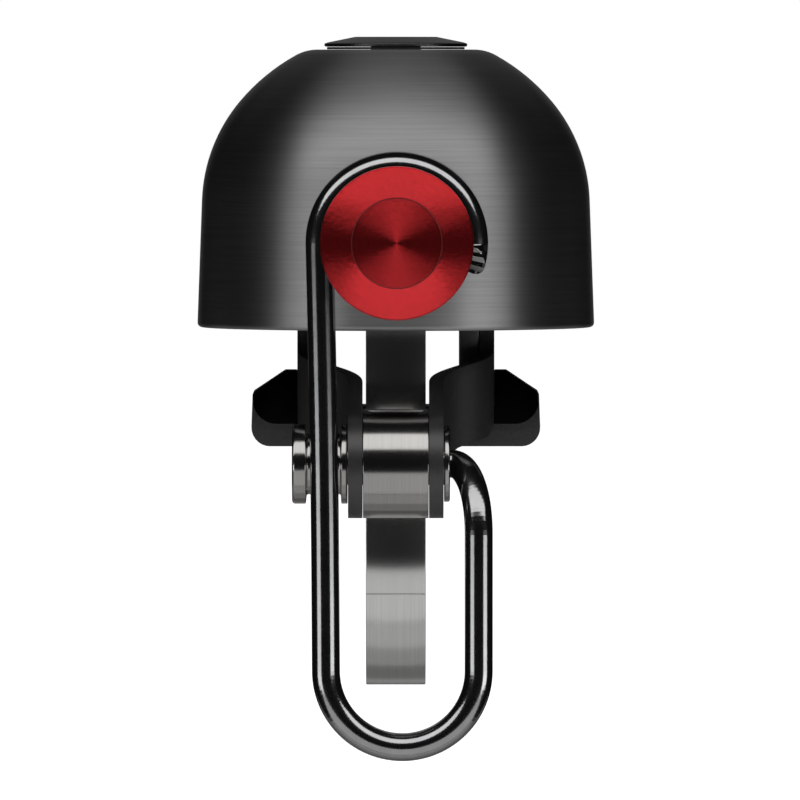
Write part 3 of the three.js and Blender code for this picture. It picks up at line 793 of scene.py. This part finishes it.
@dataclass
class ClevisFrame:
    """The bracket, the two swept side plates and their rivets."""

    sheet: float = 1.36
    bracket_plate: float = 2.0
    bracket_inner: float = 6.06
    screw_bore: float = 2.5
    ear_radius: float = 5.15
    ear_span: Point2 = (110.0, 316.0)
    neck_top: Point2 = (19.25, 2.2)
    throat: tuple[Corner, ...] = (
        (-11.9, 8.3, 2.6), (-9.6, 9.85, 1.6), (-6.9, 10.85, 1.5), (-5.5, 12.3, 0.6),
    )
    pivot_hole: float = 2.06
    rivet_radius: float = 1.2
    rivet_gap: float = 0.03
    rivet_head: float = 2.0
    rivet_head_height: float = 0.38
    rivet_z: tuple[float, float] = (25.2, 30.8)
    sweep: tuple[float, float] = (-5.0, -13.0)
    sweep_halvings: int = 30
    bend_cuts: int = 30
    hole_sides: int = 40

    def bracket(self) -> None:
        """The inverted U that stands on the saddle."""
        low, high = box_mm("bracket")
        inner, under = self.bracket_inner, high.z - self.bracket_plate
        outline = eased([
            (low.x, low.z, 0), (-inner, low.z, 0), (-inner, under, 0.8), (inner, under, 0.8),
            (inner, low.z, 0), (high.x, low.z, 0), (high.x, high.z, 1.2), (low.x, high.z, 1.2),
        ])
        stock = Stock.slab(outline, low.y, high.y).across_front().broken_edges(0.25)
        stock.bored(self.screw_bore, Axis.Z)
        for height in self.rivet_z:
            stock.bored(self.rivet_radius + self.rivet_gap, Axis.X, Vector((0, 0, height)), 24)
        stock.finished("bracket", SATIN_BLACK)

    def _sweep_at(self, y: float, flank: float, ear: float) -> tuple[float, float]:
        """Where the swept sheet's middle lies at a depth.

        Args:
            y: The depth.
            flank: The middle's x on the straight flank.
            ear: The middle's x on the ear.

        Returns:
            The middle's x and its slope there.
        """
        start, end = self.sweep
        share = min(max((y - start) / (end - start), 0.0), 1.0)
        low, high = 0.0, 1.0
        for _ in range(self.sweep_halvings):
            t = (low + high) / 2
            low, high = (t, high) if 1.5 * t - 1.5 * t * t + t**3 < share else (low, t)
        x = flank + (ear - flank) * (3 * t * t - 2 * t**3)
        slope = (ear - flank) * 6 * t * (1 - t) / ((end - start) * (1.5 - 3 * t + 3 * t * t))
        return x, slope if 0.0 < share < 1.0 else 0.0

    def _outline(self) -> list[Point2]:
        """The side plate's (y, z) outline."""
        high = box_mm("right_side_plate")[1]
        pivot = pivot_mm()
        foot = box_mm("bracket")[0].z + 0.05
        ear = arc((pivot.y, pivot.z), self.ear_radius, *self.ear_span, 48)
        return eased([
            (high.y, foot, 0.0), (high.y, high.z, 1.5), (-high.y, high.z, 1.5), (-high.y, *self.neck_top),
            *flat(ear), *self.throat, (-5.45, foot, 0.0),
        ])

    def side_plates(self) -> None:
        """Blanks a plate, breaks its edges, bends it, and makes the other hand."""
        low, high = box_mm("right_side_plate")
        pivot = pivot_mm()
        half = self.sheet / 2
        last = self.hole_sides - 1
        holes = [arc((pivot.y, pivot.z), self.pivot_hole, 0, 360 - 360 / self.hole_sides, last)]
        for height in self.rivet_z:
            holes.append(arc((0, height), self.rivet_radius + self.rivet_gap, 0, 345, 23))
        stock = Stock.slab(self._outline(), -half, half, holes).along(Axis.X)
        stock.broken_edges(0.22, 3)
        start, end = self.sweep
        for i in range(self.bend_cuts + 1):
            y = start + (end - start) * i / self.bend_cuts
            everything = stock.bm.verts[:] + stock.bm.edges[:] + stock.bm.faces[:]
            bmesh.ops.bisect_plane(stock.bm, geom=everything, plane_co=(0, y, 0), plane_no=(0, 1, 0))
        flank, ear = high.x - half, low.x + half
        for vert in stock.bm.verts:
            offset, y = vert.co.x, vert.co.y
            x, slope = self._sweep_at(y, flank, ear)
            length = math.hypot(1.0, slope)
            vert.co.x = x + offset / length
            vert.co.y = y - offset * slope / length
        twin = stock.copied().mirrored()
        stock.cleaned().finished("right_side_plate", SATIN_BLACK)
        twin.finished("left_side_plate", SATIN_BLACK)

    def rivets(self) -> None:
        """Four round-headed rivets."""
        for side in ("left", "right"):
            for level, height in zip(("lower", "upper"), self.rivet_z):
                node = f"{side}_{level}_rivet"
                low, high = box_mm(node)
                first, last = low.x + self.rivet_head_height, high.x - self.rivet_head_height
                head, crown = self.rivet_head, self.rivet_head * 0.8
                profile = eased([
                    (0.0, low.x, 0), (crown, low.x, 0.5), (head, first, 0), (self.rivet_radius, first, 0),
                    (self.rivet_radius, last, 0), (head, last, 0), (crown, high.x, 0.5), (0.0, high.x, 0),
                ], closed=False)
                Stock.turned(profile, 40).along(Axis.X).moved(z=height).finished(node, ZINC)

    def build(self) -> None:
        """Makes every piece of the frame."""
        self.bracket()
        self.side_plates()
        self.rivets()


@dataclass
class BarClamp:
    """The saddle on the bar, and the lined strap with its tension bridge and nut."""

    bar_radius: float = 11.1
    saddle_foot: float = 9.8
    saddle_corner: float = 1.8
    middle_top: float = 13.6
    lip_top: float = 11.95
    wing_inner: float = 9.44
    wing_flat: float = 10.6
    wing_tip: Point2 = (13.68, 14.9)
    wing_depth: float = 2.4
    pocket_corner: float = 2.3
    pocket_outer: float = 13.5
    pocket_tip: Point2 = (13.72, 14.95)
    pocket_inset: float = 0.8
    # How squarely a pocket face must look forwards or back to get the painted pocket shade.
    painted_shade_slope: float = 0.5
    strap_thickness: float = 0.6
    strap_bend: float = 1.2
    strap_end: float = 3.4
    crease_z: float = -4.0
    crease_depth: float = 0.07
    screw_x: float = 7.03
    screw_head: Point2 = (1.5, 0.9)
    screw_shank: float = 0.7
    counterbore: Point2 = (1.6, 12.3)
    screw_hole: Point2 = (0.8, 16.0)
    screw_bore: float = 2.5
    nut_flats: float = 8.0
    nut_chamfer: float = 0.45
    ribs: int = 17
    rib_steps: int = 8
    rib_depth: float = 0.24

    def _wing_pocket(self, low: Vector, high: Vector) -> Stock:
        """What is taken off the front of the right wing, above its lip."""
        lip, inner = self.lip_top, self.wing_inner - 0.2
        outline = eased([
            (inner, lip, 0), (self.pocket_outer, lip, self.pocket_corner), (*self.pocket_tip, 0.0),
            (high.x + 1, high.z + 2, 0), (inner, high.z + 2, 0),
        ], steps=12)
        pocket = Stock.slab(outline, self.wing_depth, high.y + 1).across_front()
        for vert in pocket.bm.verts:
            back = (vert.co.y - low.y) / (high.y - self.wing_depth)
            vert.co.x -= self.pocket_inset * back
            vert.co.z += (high.z - lip) * back
        return pocket

    def _in_painted_pocket_shade(self, middle: Vector, normal: Vector) -> bool:
        """Whether a face lies in a wing's pocket and looks forwards or back, and so gets the pocket's
        near-black painted shade.
        """
        in_wing = abs(middle.x) > self.wing_inner and middle.z > self.lip_top + 0.05
        return in_wing and abs(normal.y) > self.painted_shade_slope

    def saddle(self) -> None:
        """The moulded block with its two wings and the lips that run round them."""
        low, high = box_mm("saddle")
        half = [
            (self.wing_inner, self.middle_top, 0.2), (self.wing_inner, high.z, 0.15),
            (self.wing_flat, high.z, 0.35), (*self.wing_tip, 0.35),
            (high.x, self.saddle_foot, self.saddle_corner), (6.0, self.saddle_foot, 0.0),
        ]
        outline = eased([*half, *((-x, z, r) for x, z, r in reversed(half))], steps=7)
        reach = math.degrees(math.asin(high.y / self.bar_radius))
        bar = arc((0.0, 0.0), self.bar_radius, 90.0 + reach, 90.0 - reach, 40)
        side = [*bar, (high.y, high.z + 1), (-high.y, high.z + 1)]
        stock = Stock.slab(outline, low.y - 1, high.y + 1).across_front()
        stock.combined(Stock.slab(side, low.x - 1, high.x + 1).along(Axis.X), Cut.KEEP_COMMON)
        front = self._wing_pocket(low, high)
        back = front.copied().mirrored(Axis.Y)
        for pocket in (front.copied().mirrored(), back.copied().mirrored(), front, back):
            stock.combined(pocket, Cut.TAKE_OFF)
        stock.broken_edges(0.2, 2, 40.0)
        (wide, shoulder), (narrow, top) = self.counterbore, self.screw_hole
        drill = [(0, 8), (wide, 8), (wide, shoulder), (narrow, shoulder), (narrow, top), (0, top)]
        for x in (-self.screw_x, self.screw_x):
            stock.combined(Stock.turned(drill, 32).moved(x=x), Cut.TAKE_OFF)
        stock.bm.normal_update()
        # The pocket faces get a near-black, almost unreflective copy of the nylon: painted shade for the
        # pocket, which lies in the dome's shade.
        stock.finished("saddle", NYLON, POCKET_PAINTED_SHADE, self._in_painted_pocket_shade)

    def saddle_screws(self) -> None:
        """Two slotted screws that hold the saddle to the bracket."""
        for node, x in (("left_saddle_screw", -self.screw_x), ("right_saddle_screw", self.screw_x)):
            low, high = box_mm(node)
            head, seat = self.screw_head[0], low.z + self.screw_head[1]
            profile = eased([
                (0, low.z, 0), (head, low.z, 0.25), (head, seat, 0), (self.screw_shank, seat, 0),
                (self.screw_shank, high.z - 0.4, 0), (0, high.z, 0),
            ], closed=False)
            stock = Stock.turned(profile, 40)
            slot = Stock.block(Vector((-0.2, -3, low.z - 1)), Vector((0.2, 3, low.z + 0.5)))
            stock.combined(slot, Cut.TAKE_OFF).moved(x=x).finished(node, ZINC)

    def _strap_line(self) -> tuple[list[Point2], list[Point2]]:
        """The strap's outer and inner (y, z) lines, from the front end round to the back end."""
        high = box_mm("strap")[1]
        outer = high.y
        inner = outer - self.strap_thickness
        bend_y = inner - self.strap_bend
        bend_z = high.z - self.strap_thickness - self.strap_bend
        lines = []
        for radius, bend, top in (
            (outer, self.strap_bend + self.strap_thickness, high.z),
            (inner, self.strap_bend, high.z - self.strap_thickness),
        ):
            lines.append([
                (-self.strap_end, top), *arc((-bend_y, bend_z), bend, 90, 180, 8),
                *arc((0, 0), radius, 180, 360, 96), *arc((bend_y, bend_z), bend, 0, 90, 8),
                (self.strap_end, top),
            ])
        return lines[0], lines[1]

    def strap(self) -> None:
        """The steel band under the bar, bent in at both ends to sit on the bridge."""
        low, high = box_mm("strap")
        outer, inner = self._strap_line()
        stock = Stock.slab([*outer, *reversed(inner)], low.x, high.x).along(Axis.X)
        edge = high.x - 0.01
        stock.broken_edges(0.1, 2, 60.0, lambda middle: abs(middle.x) > edge)
        reach = math.sqrt(high.y**2 - self.crease_z**2)
        groove = Stock.turned([(0, -4), (self.crease_depth, -4), (self.crease_depth, 4), (0, 4)], 12)
        stock.combined(groove.along(Axis.X).moved(y=-reach, z=self.crease_z), Cut.TAKE_OFF)
        stock.finished("strap", STRAP_METAL)

    def liner(self) -> None:
        """The rubber liner, ribbed along the bar."""
        low, high = box_mm("strap_liner")
        outer = high.y
        bore = []
        count = self.ribs * self.rib_steps
        for i in range(count + 1):
            angle = 180.0 + 180.0 * i / count
            depth = self.rib_depth / 2 * (1 - math.cos(2 * math.pi * i / self.rib_steps))
            bore.append(arc((0, 0), self.bar_radius + depth, angle, angle, 1)[0])
        outline = [
            (-self.bar_radius, high.z), (-outer, high.z), *arc((0, 0), outer, 180, 360, 96),
            (outer, high.z), (self.bar_radius, high.z), *reversed(bore),
        ]
        stock = Stock.slab(outline, low.x, high.x).along(Axis.X).broken_edges(0.12, 2, 70.0)
        stock.finished("strap_liner", RUBBER)

    def tension_parts(self) -> None:
        """The bridge that the strap's ends sit on, and the nut under it."""
        low, high = box_mm("tension_bridge")
        bridge = Stock.block(low, high).broken_edges(0.35, 3)
        bridge.bored(self.screw_bore, Axis.Z).finished("tension_bridge", ZINC)
        low, high = box_mm("tension_nut")
        round_to = self.nut_flats / 2 + self.nut_chamfer
        face, side = round_to - self.nut_chamfer, round_to + 0.2
        middle = [(face, low.z), (side, low.z + 0.4), (side, high.z - 0.4), (face, high.z)]
        chamfer = Stock.turned([(0, low.z), *middle, (0, high.z)], 72)
        stock = Stock.slab(hexagon(self.nut_flats), low.z, high.z).combined(chamfer, Cut.KEEP_COMMON)
        stock.bored(self.screw_bore, Axis.Z).finished("tension_nut", ZINC)

    def build(self) -> None:
        """Makes every piece of the clamp."""
        self.saddle()
        self.saddle_screws()
        self.strap()
        self.liner()
        self.tension_parts()


@dataclass
class PivotSet:
    """The barrel between the ears, its bolt, its bush and the return spring."""

    hole: float = 2.06
    pin: float = 2.0
    wall: float = 1.1
    groove: float = 2.9
    groove_span: Point2 = (-8.4, -5.2)
    bolt_flange: float = 3.78
    bush_flange: float = 3.6
    bore: float = 1.37
    ear_outer: float = 4.57
    socket_flats: float = 3.0
    socket_depth: float = 2.2
    spring_radius: float = 2.95
    spring_wire: float = 0.3
    spring_turns: float = 4.5
    spring_steps: int = 28
    place: Vector = field(default_factory=pivot_mm)

    def _fixed(self, profile: Sequence[Corner], node: str, finish: Finish, closed: bool,
               socket: Point2 | None = None) -> None:
        """Turns a piece about the pivot's axis and finishes it.

        Args:
            profile: Its (radius, x) corners with their roundings.
            node: The CAD node that it stands for.
            finish: What it is finished in.
            closed: Whether it is a ring.
            socket: The x of a hexagon socket's floor and mouth, if it has one.
        """
        stock = Stock.turned(eased(profile, closed, 4), 96).along(Axis.X)
        if socket:
            stock.socketed(self.socket_flats, *socket, Axis.X)
        stock.moved(*self.place).finished(node, finish)

    def build(self) -> None:
        """Makes every piece of the pivot."""
        low, high = box_mm("pivot_barrel")
        half, radius = high.x, (high.z - low.z) / 2
        chamber = radius - self.wall
        self._fixed([
            (self.hole, -half, 0), (radius, -half, 0.07), (radius, half, 0.07), (chamber, half, 0),
            (chamber, self.wall - half, 0), (self.hole, self.wall - half, 0),
        ], "pivot_barrel", BARREL_METAL, True)
        low, high = box_mm("pivot_bolt")
        flange, (start, end) = self.bolt_flange, self.groove_span
        self._fixed([
            (0, low.x, 0), (flange, low.x, 0.3), (flange, start - 0.1, 0.12), (self.groove, start, 0.15),
            (self.groove, end, 0.15), (flange, end + 0.05, 0.1), (flange, -self.ear_outer, 0.1),
            (self.pin, -self.ear_outer, 0), (self.pin, high.x, 0.2), (0, high.x, 0),
        ], "pivot_bolt", BARREL_METAL, False, (low.x + self.socket_depth, low.x - 1.0))
        low, high = box_mm("pivot_bush")
        self._fixed([
            (self.bore, low.x, 0.1), (self.pin, low.x, 0.1), (self.pin, self.ear_outer, 0),
            (self.bush_flange, self.ear_outer, 0.08), (self.bush_flange, high.x, 0.2),
            (self.bore, high.x, 0.15),
        ], "pivot_bush", BARREL_METAL, True)
        low, high = box_mm("return_spring")
        length = high.x - low.x - 2 * self.spring_wire
        count = int(self.spring_turns * self.spring_steps)
        coil = []
        for i in range(count + 1):
            angle = 2 * math.pi * self.spring_turns * i / count
            x = low.x + self.spring_wire + length * i / count
            spoke = Vector((0, math.cos(angle), math.sin(angle))) * self.spring_radius
            coil.append(Vector((x, self.place.y, self.place.z)) + spoke)
        Stock.bent_rod(coil, self.spring_wire, 12, 0.08).finished("return_spring", ZINC)


@dataclass
class Striker:
    """The bent wire, the red disc head in its loop and the tip that meets the dome."""

    wire_radius: float = 1.325
    wire_y: float = -23.1
    loop_centre: Point2 = (0.1, 29.5)
    loop_radius: float = 7.28
    loop_end: float = -26.0
    trim_angle: float = -13.0
    trim_face: Corner = (-0.4, -0.65, -0.65)
    trim_reach: float = 4.0
    leg_bow: float = 0.12
    bow_centre: Point2 = (0.62, -10.84)
    bow_radius: float = 7.2
    bend_z: float = 2.0
    bend_steps: int = 32
    leg_steps: int = 24
    end_x: float = 0.8
    straight_x: float = 3.0
    mouth_x: float = 5.3
    elbow: Point2 = (6.75, 6.2)
    dish_radius: float = 4.3
    dish_depth: float = 0.25
    pin_hole: float = 0.95
    pin_depth: float = 1.6
    tip_radius: float = 2.0
    tip_shoulder: float = -20.85
    rim_width: float = 2.4
    groove_radius: float = 5.88
    groove_back: float = -21.75
    back_radius: float = 6.9

    def _front(self, points: Iterable[Point2]) -> list[Vector]:
        """Points of the striker's own plane."""
        return [Vector((x, self.wire_y, z)) for x, z in points]

    def _line(self) -> list[Vector]:
        """The wire's centre line, from its end in the bush to its end round the head."""
        pivot = pivot_mm()
        right, left = self.bow_centre[0] + self.bow_radius, self.bow_centre[0] - self.bow_radius
        loop_left = self.loop_centre[0] - self.loop_radius
        mouth = Vector((self.mouth_x, pivot.y, pivot.z))
        controls = (
            mouth, Vector((self.elbow[0], pivot.y, pivot.z)), Vector((right, self.wire_y, self.elbow[1])),
            Vector((right, self.wire_y, self.bend_z)),
        )
        bend = []
        for i in range(self.bend_steps + 1):
            t = i / self.bend_steps
            weights = ((1 - t) ** 3, 3 * t * (1 - t) ** 2, 3 * t * t * (1 - t), t**3)
            bend.append(sum((point * weight for point, weight in zip(controls, weights)), Vector()))
        leg_z, loop_z = self.bow_centre[1], self.loop_centre[1]
        down = [(right, self.bend_z + (leg_z - self.bend_z) * i / 6) for i in range(1, 6)]
        up = []
        for i in range(1, self.leg_steps):
            t = i / self.leg_steps
            bowed = self.leg_bow * math.sin(math.pi * t)
            up.append((left + (loop_left - left) * t + bowed, leg_z + (loop_z - leg_z) * t))
        return [
            Vector((self.end_x, pivot.y, pivot.z)), Vector((self.straight_x, pivot.y, pivot.z)), *bend,
            *self._front(down), *self._front(arc(self.bow_centre, self.bow_radius, 0, -180, 56)),
            *self._front(up),
            *self._front(arc(self.loop_centre, self.loop_radius, 180, self.loop_end, 64)),
        ]

    def _on_loop(self, stock: Stock) -> Stock:
        """Lays turned stock along Y, on the axis of the wire's loop."""
        return stock.along(Axis.Y).moved(x=self.loop_centre[0], z=self.loop_centre[1])

    def _kept_from_mirrors(self, stock: Stock, node: str, finish: Finish) -> None:
        """Finishes a piece, and keeps it out of the other pieces' reflections."""
        stock.finished(node, finish).visible_glossy = False

    def wire(self) -> None:
        """The bent wire, its end in the loop cut off at a slant."""
        stock = Stock.bent_rod(self._line(), self.wire_radius, 32, 0.3)
        trim = arc(self.loop_centre, self.loop_radius, self.trim_angle, self.trim_angle, 1)[:1]
        stock.trimmed(self._front(trim)[0], Vector(self.trim_face), self.trim_reach)
        self._kept_from_mirrors(stock, "striker_wire", BLACK_CHROME)

    def head(self) -> None:
        """The grooved disc: a flat face about a shallow dish."""
        low, high = box_mm("striker_head")
        front, back = low.y, high.y
        rim, groove_front = high.x - self.loop_centre[0], front + self.rim_width
        dish, hole = front + self.dish_depth, front + self.pin_depth
        profile = eased([
            (0, dish, 0), (self.dish_radius - 0.1, dish, 0), (self.dish_radius, front, 0.02),
            (rim - 0.12, front, 0.06), (rim, front + 0.12, 0.06), (rim, groove_front, 0.3),
            (self.groove_radius, groove_front, 0.2), (self.groove_radius, self.groove_back, 0.2),
            (self.back_radius, self.groove_back, 0.15), (self.back_radius, back, 0.25),
            (self.pin_hole, back, 0), (self.pin_hole, hole, 0), (0, hole, 0),
        ], closed=False, steps=6)
        self._kept_from_mirrors(self._on_loop(Stock.turned(profile, 160)), "striker_head", RED_ANODISED)

    def tip(self) -> None:
        """The pin through the head, with its round striking end."""
        low, high = box_mm("striker_tip")
        pin, shoulder = self.pin_hole - 0.05, self.tip_shoulder
        profile = eased([
            (0, low.y, 0), (pin, low.y, 0.2), (pin, shoulder, 0), (self.tip_radius, shoulder, 0.1),
            (self.tip_radius, high.y, 1.1), (0, high.y, 0),
        ], closed=False)
        self._kept_from_mirrors(self._on_loop(Stock.turned(profile, 64)), "striker_tip", ZINC)

    def build(self) -> None:
        """Makes every piece of the striker."""
        self.wire()
        self.head()
        self.tip()


# Studio


@dataclass(frozen=True)
class Softbox:
    """A flat soft light, placed by its direction from the bell.

    Azimuth 0 is the camera's side and elevation is above the horizon, in degrees. Sizes are in metres.
    spares names a piece that the light is flagged off.
    """

    name: str
    azimuth: float
    elevation: float
    width: float
    height: float
    brightness: float
    distance: float = 0.8
    centre_z: float = 0.015
    spares: str = ""

    def place(self) -> None:
        """Sets the light up, facing the bell."""
        azimuth, elevation = math.radians(self.azimuth), math.radians(self.elevation)
        away = Vector((
            math.sin(azimuth) * math.cos(elevation), -math.cos(azimuth) * math.cos(elevation),
            math.sin(elevation),
        ))
        light = bpy.data.lights.new(self.name, "AREA")
        light.shape = "RECTANGLE"
        light.size, light.size_y = self.width, self.height
        light.energy = self.brightness * math.pi * self.width * self.height
        lamp = bpy.data.objects.new(self.name, light)
        lamp.location = Vector((0, 0, self.centre_z)) + away * self.distance
        lamp.rotation_euler = (-away).to_track_quat("-Z", "Y").to_euler()
        lamp.visible_camera = False
        bpy.context.scene.collection.objects.link(lamp)
        if self.spares:
            flagged = bpy.data.collections.new(f"{self.name}_flagged")
            flagged.objects.link(bpy.data.objects[self.spares])
            lamp.light_linking.receiver_collection = flagged
            flagged.collection_objects[0].light_linking.link_state = "EXCLUDE"


SOFTBOXES = (
    Softbox("top_softbox", 0, 49, 2.3, 0.52, 1.5),
    Softbox("low_softbox", 0, -41, 2.0, 0.7, 0.6),
    Softbox("under_softbox", 0, -78, 2.0, 0.35, 0.44),
    Softbox("under_back_softbox", 180, -78, 2.0, 0.35, 0.29),
    Softbox("low_back_softbox", 180, -45, 2.0, 0.66, 0.15),
    Softbox("left_softbox", -54, -8.6, 0.44, 0.17, 1.8, spares="fine_striker_head"),
    Softbox("right_softbox", 54, -8.6, 0.44, 0.17, 2.2, spares="fine_striker_head"),
    Softbox("back_strip", 180, 5, 0.5, 1.4, 0.12),
    Softbox("back_top_softbox", 180, 42, 1.2, 0.3, 0.04),
)


@dataclass
class Studio:
    """The pale floor, the soft lights, the white surround and the camera."""

    floor_radius: float = 3.0
    floor_drop: float = 0.0008
    surround: float = 1.0
    ambient: float = 0.008
    camera_place: Vector = field(default_factory=lambda: Vector((0.0004, -1.3, 0.0478)))
    camera_pitch: float = 1.485
    lens: float = 610.2
    sensor: float = 36.0
    clip: Point2 = (0.05, 20.0)

    def floor(self) -> None:
        """A plain pale disc just under the bell."""
        low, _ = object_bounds()
        bm = bmesh.new()
        bmesh.ops.create_circle(bm, cap_ends=True, segments=96, radius=self.floor_radius)
        bmesh.ops.translate(bm, vec=(0, 0, low.z - self.floor_drop), verts=bm.verts[:])
        mesh = bpy.data.meshes.new("floor")
        bm.to_mesh(mesh)
        bm.free()
        made = bpy.data.materials.new("pale_floor")
        graph = Graph(made)
        surface = graph.node("ShaderNodeBsdfPrincipled", None, {
            "Base Color": (0.85, 0.85, 0.85, 1.0), "Roughness": 0.9, "Specular IOR Level": 0.0,
            "Emission Color": (1.0, 1.0, 1.0, 1.0), "Emission Strength": 1.0,
        })
        graph.node("ShaderNodeOutputMaterial", None, {"Surface": surface})
        mesh.materials.append(made)
        floor = bpy.data.objects.new("floor", mesh)
        floor.visible_glossy = False
        floor.visible_diffuse = False
        floor.visible_shadow = False
        bpy.context.scene.collection.objects.link(floor)
        floor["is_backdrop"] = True

    def world(self) -> None:
        """White behind the bell, and a dark studio in its reflections."""
        world = bpy.data.worlds.new("studio")
        bpy.context.scene.world = world
        graph = Graph(world)
        seen = graph.node("ShaderNodeLightPath", None, None, "Is Camera Ray")
        level = seen * (self.surround - self.ambient) + self.ambient
        white = (1.0, 1.0, 1.0, 1.0)
        surface = graph.node("ShaderNodeBackground", None, {"Color": white, "Strength": level})
        graph.node("ShaderNodeOutputWorld", None, {"Surface": surface})

    def camera(self) -> None:
        """The long lens at the height of the dome's top."""
        data = bpy.data.cameras.new("camera")
        data.lens, data.sensor_width = self.lens, self.sensor
        data.clip_start, data.clip_end = self.clip
        camera = bpy.data.objects.new("camera", data)
        camera.location = self.camera_place
        camera.rotation_euler = (math.radians(90.0 - self.camera_pitch), 0.0, 0.0)
        bpy.context.scene.collection.objects.link(camera)
        bpy.context.scene.camera = camera

    def build(self) -> None:
        """Sets the studio up."""
        self.floor()
        self.world()
        self.camera()
        for softbox in SOFTBOXES:
            softbox.place()
        bpy.context.scene.view_settings.view_transform = "Standard"


def main() -> None:
    """Builds the bell in order, then the studio round it."""
    logging.basicConfig(level=logging.INFO, format="%(name)s: %(message)s")
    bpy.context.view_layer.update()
    for assembly in (DomeAndPost(), ClevisFrame(), BarClamp(), PivotSet(), Striker()):
        assembly.build()
    Studio().build()


if __name__ == "__main__":
    main()
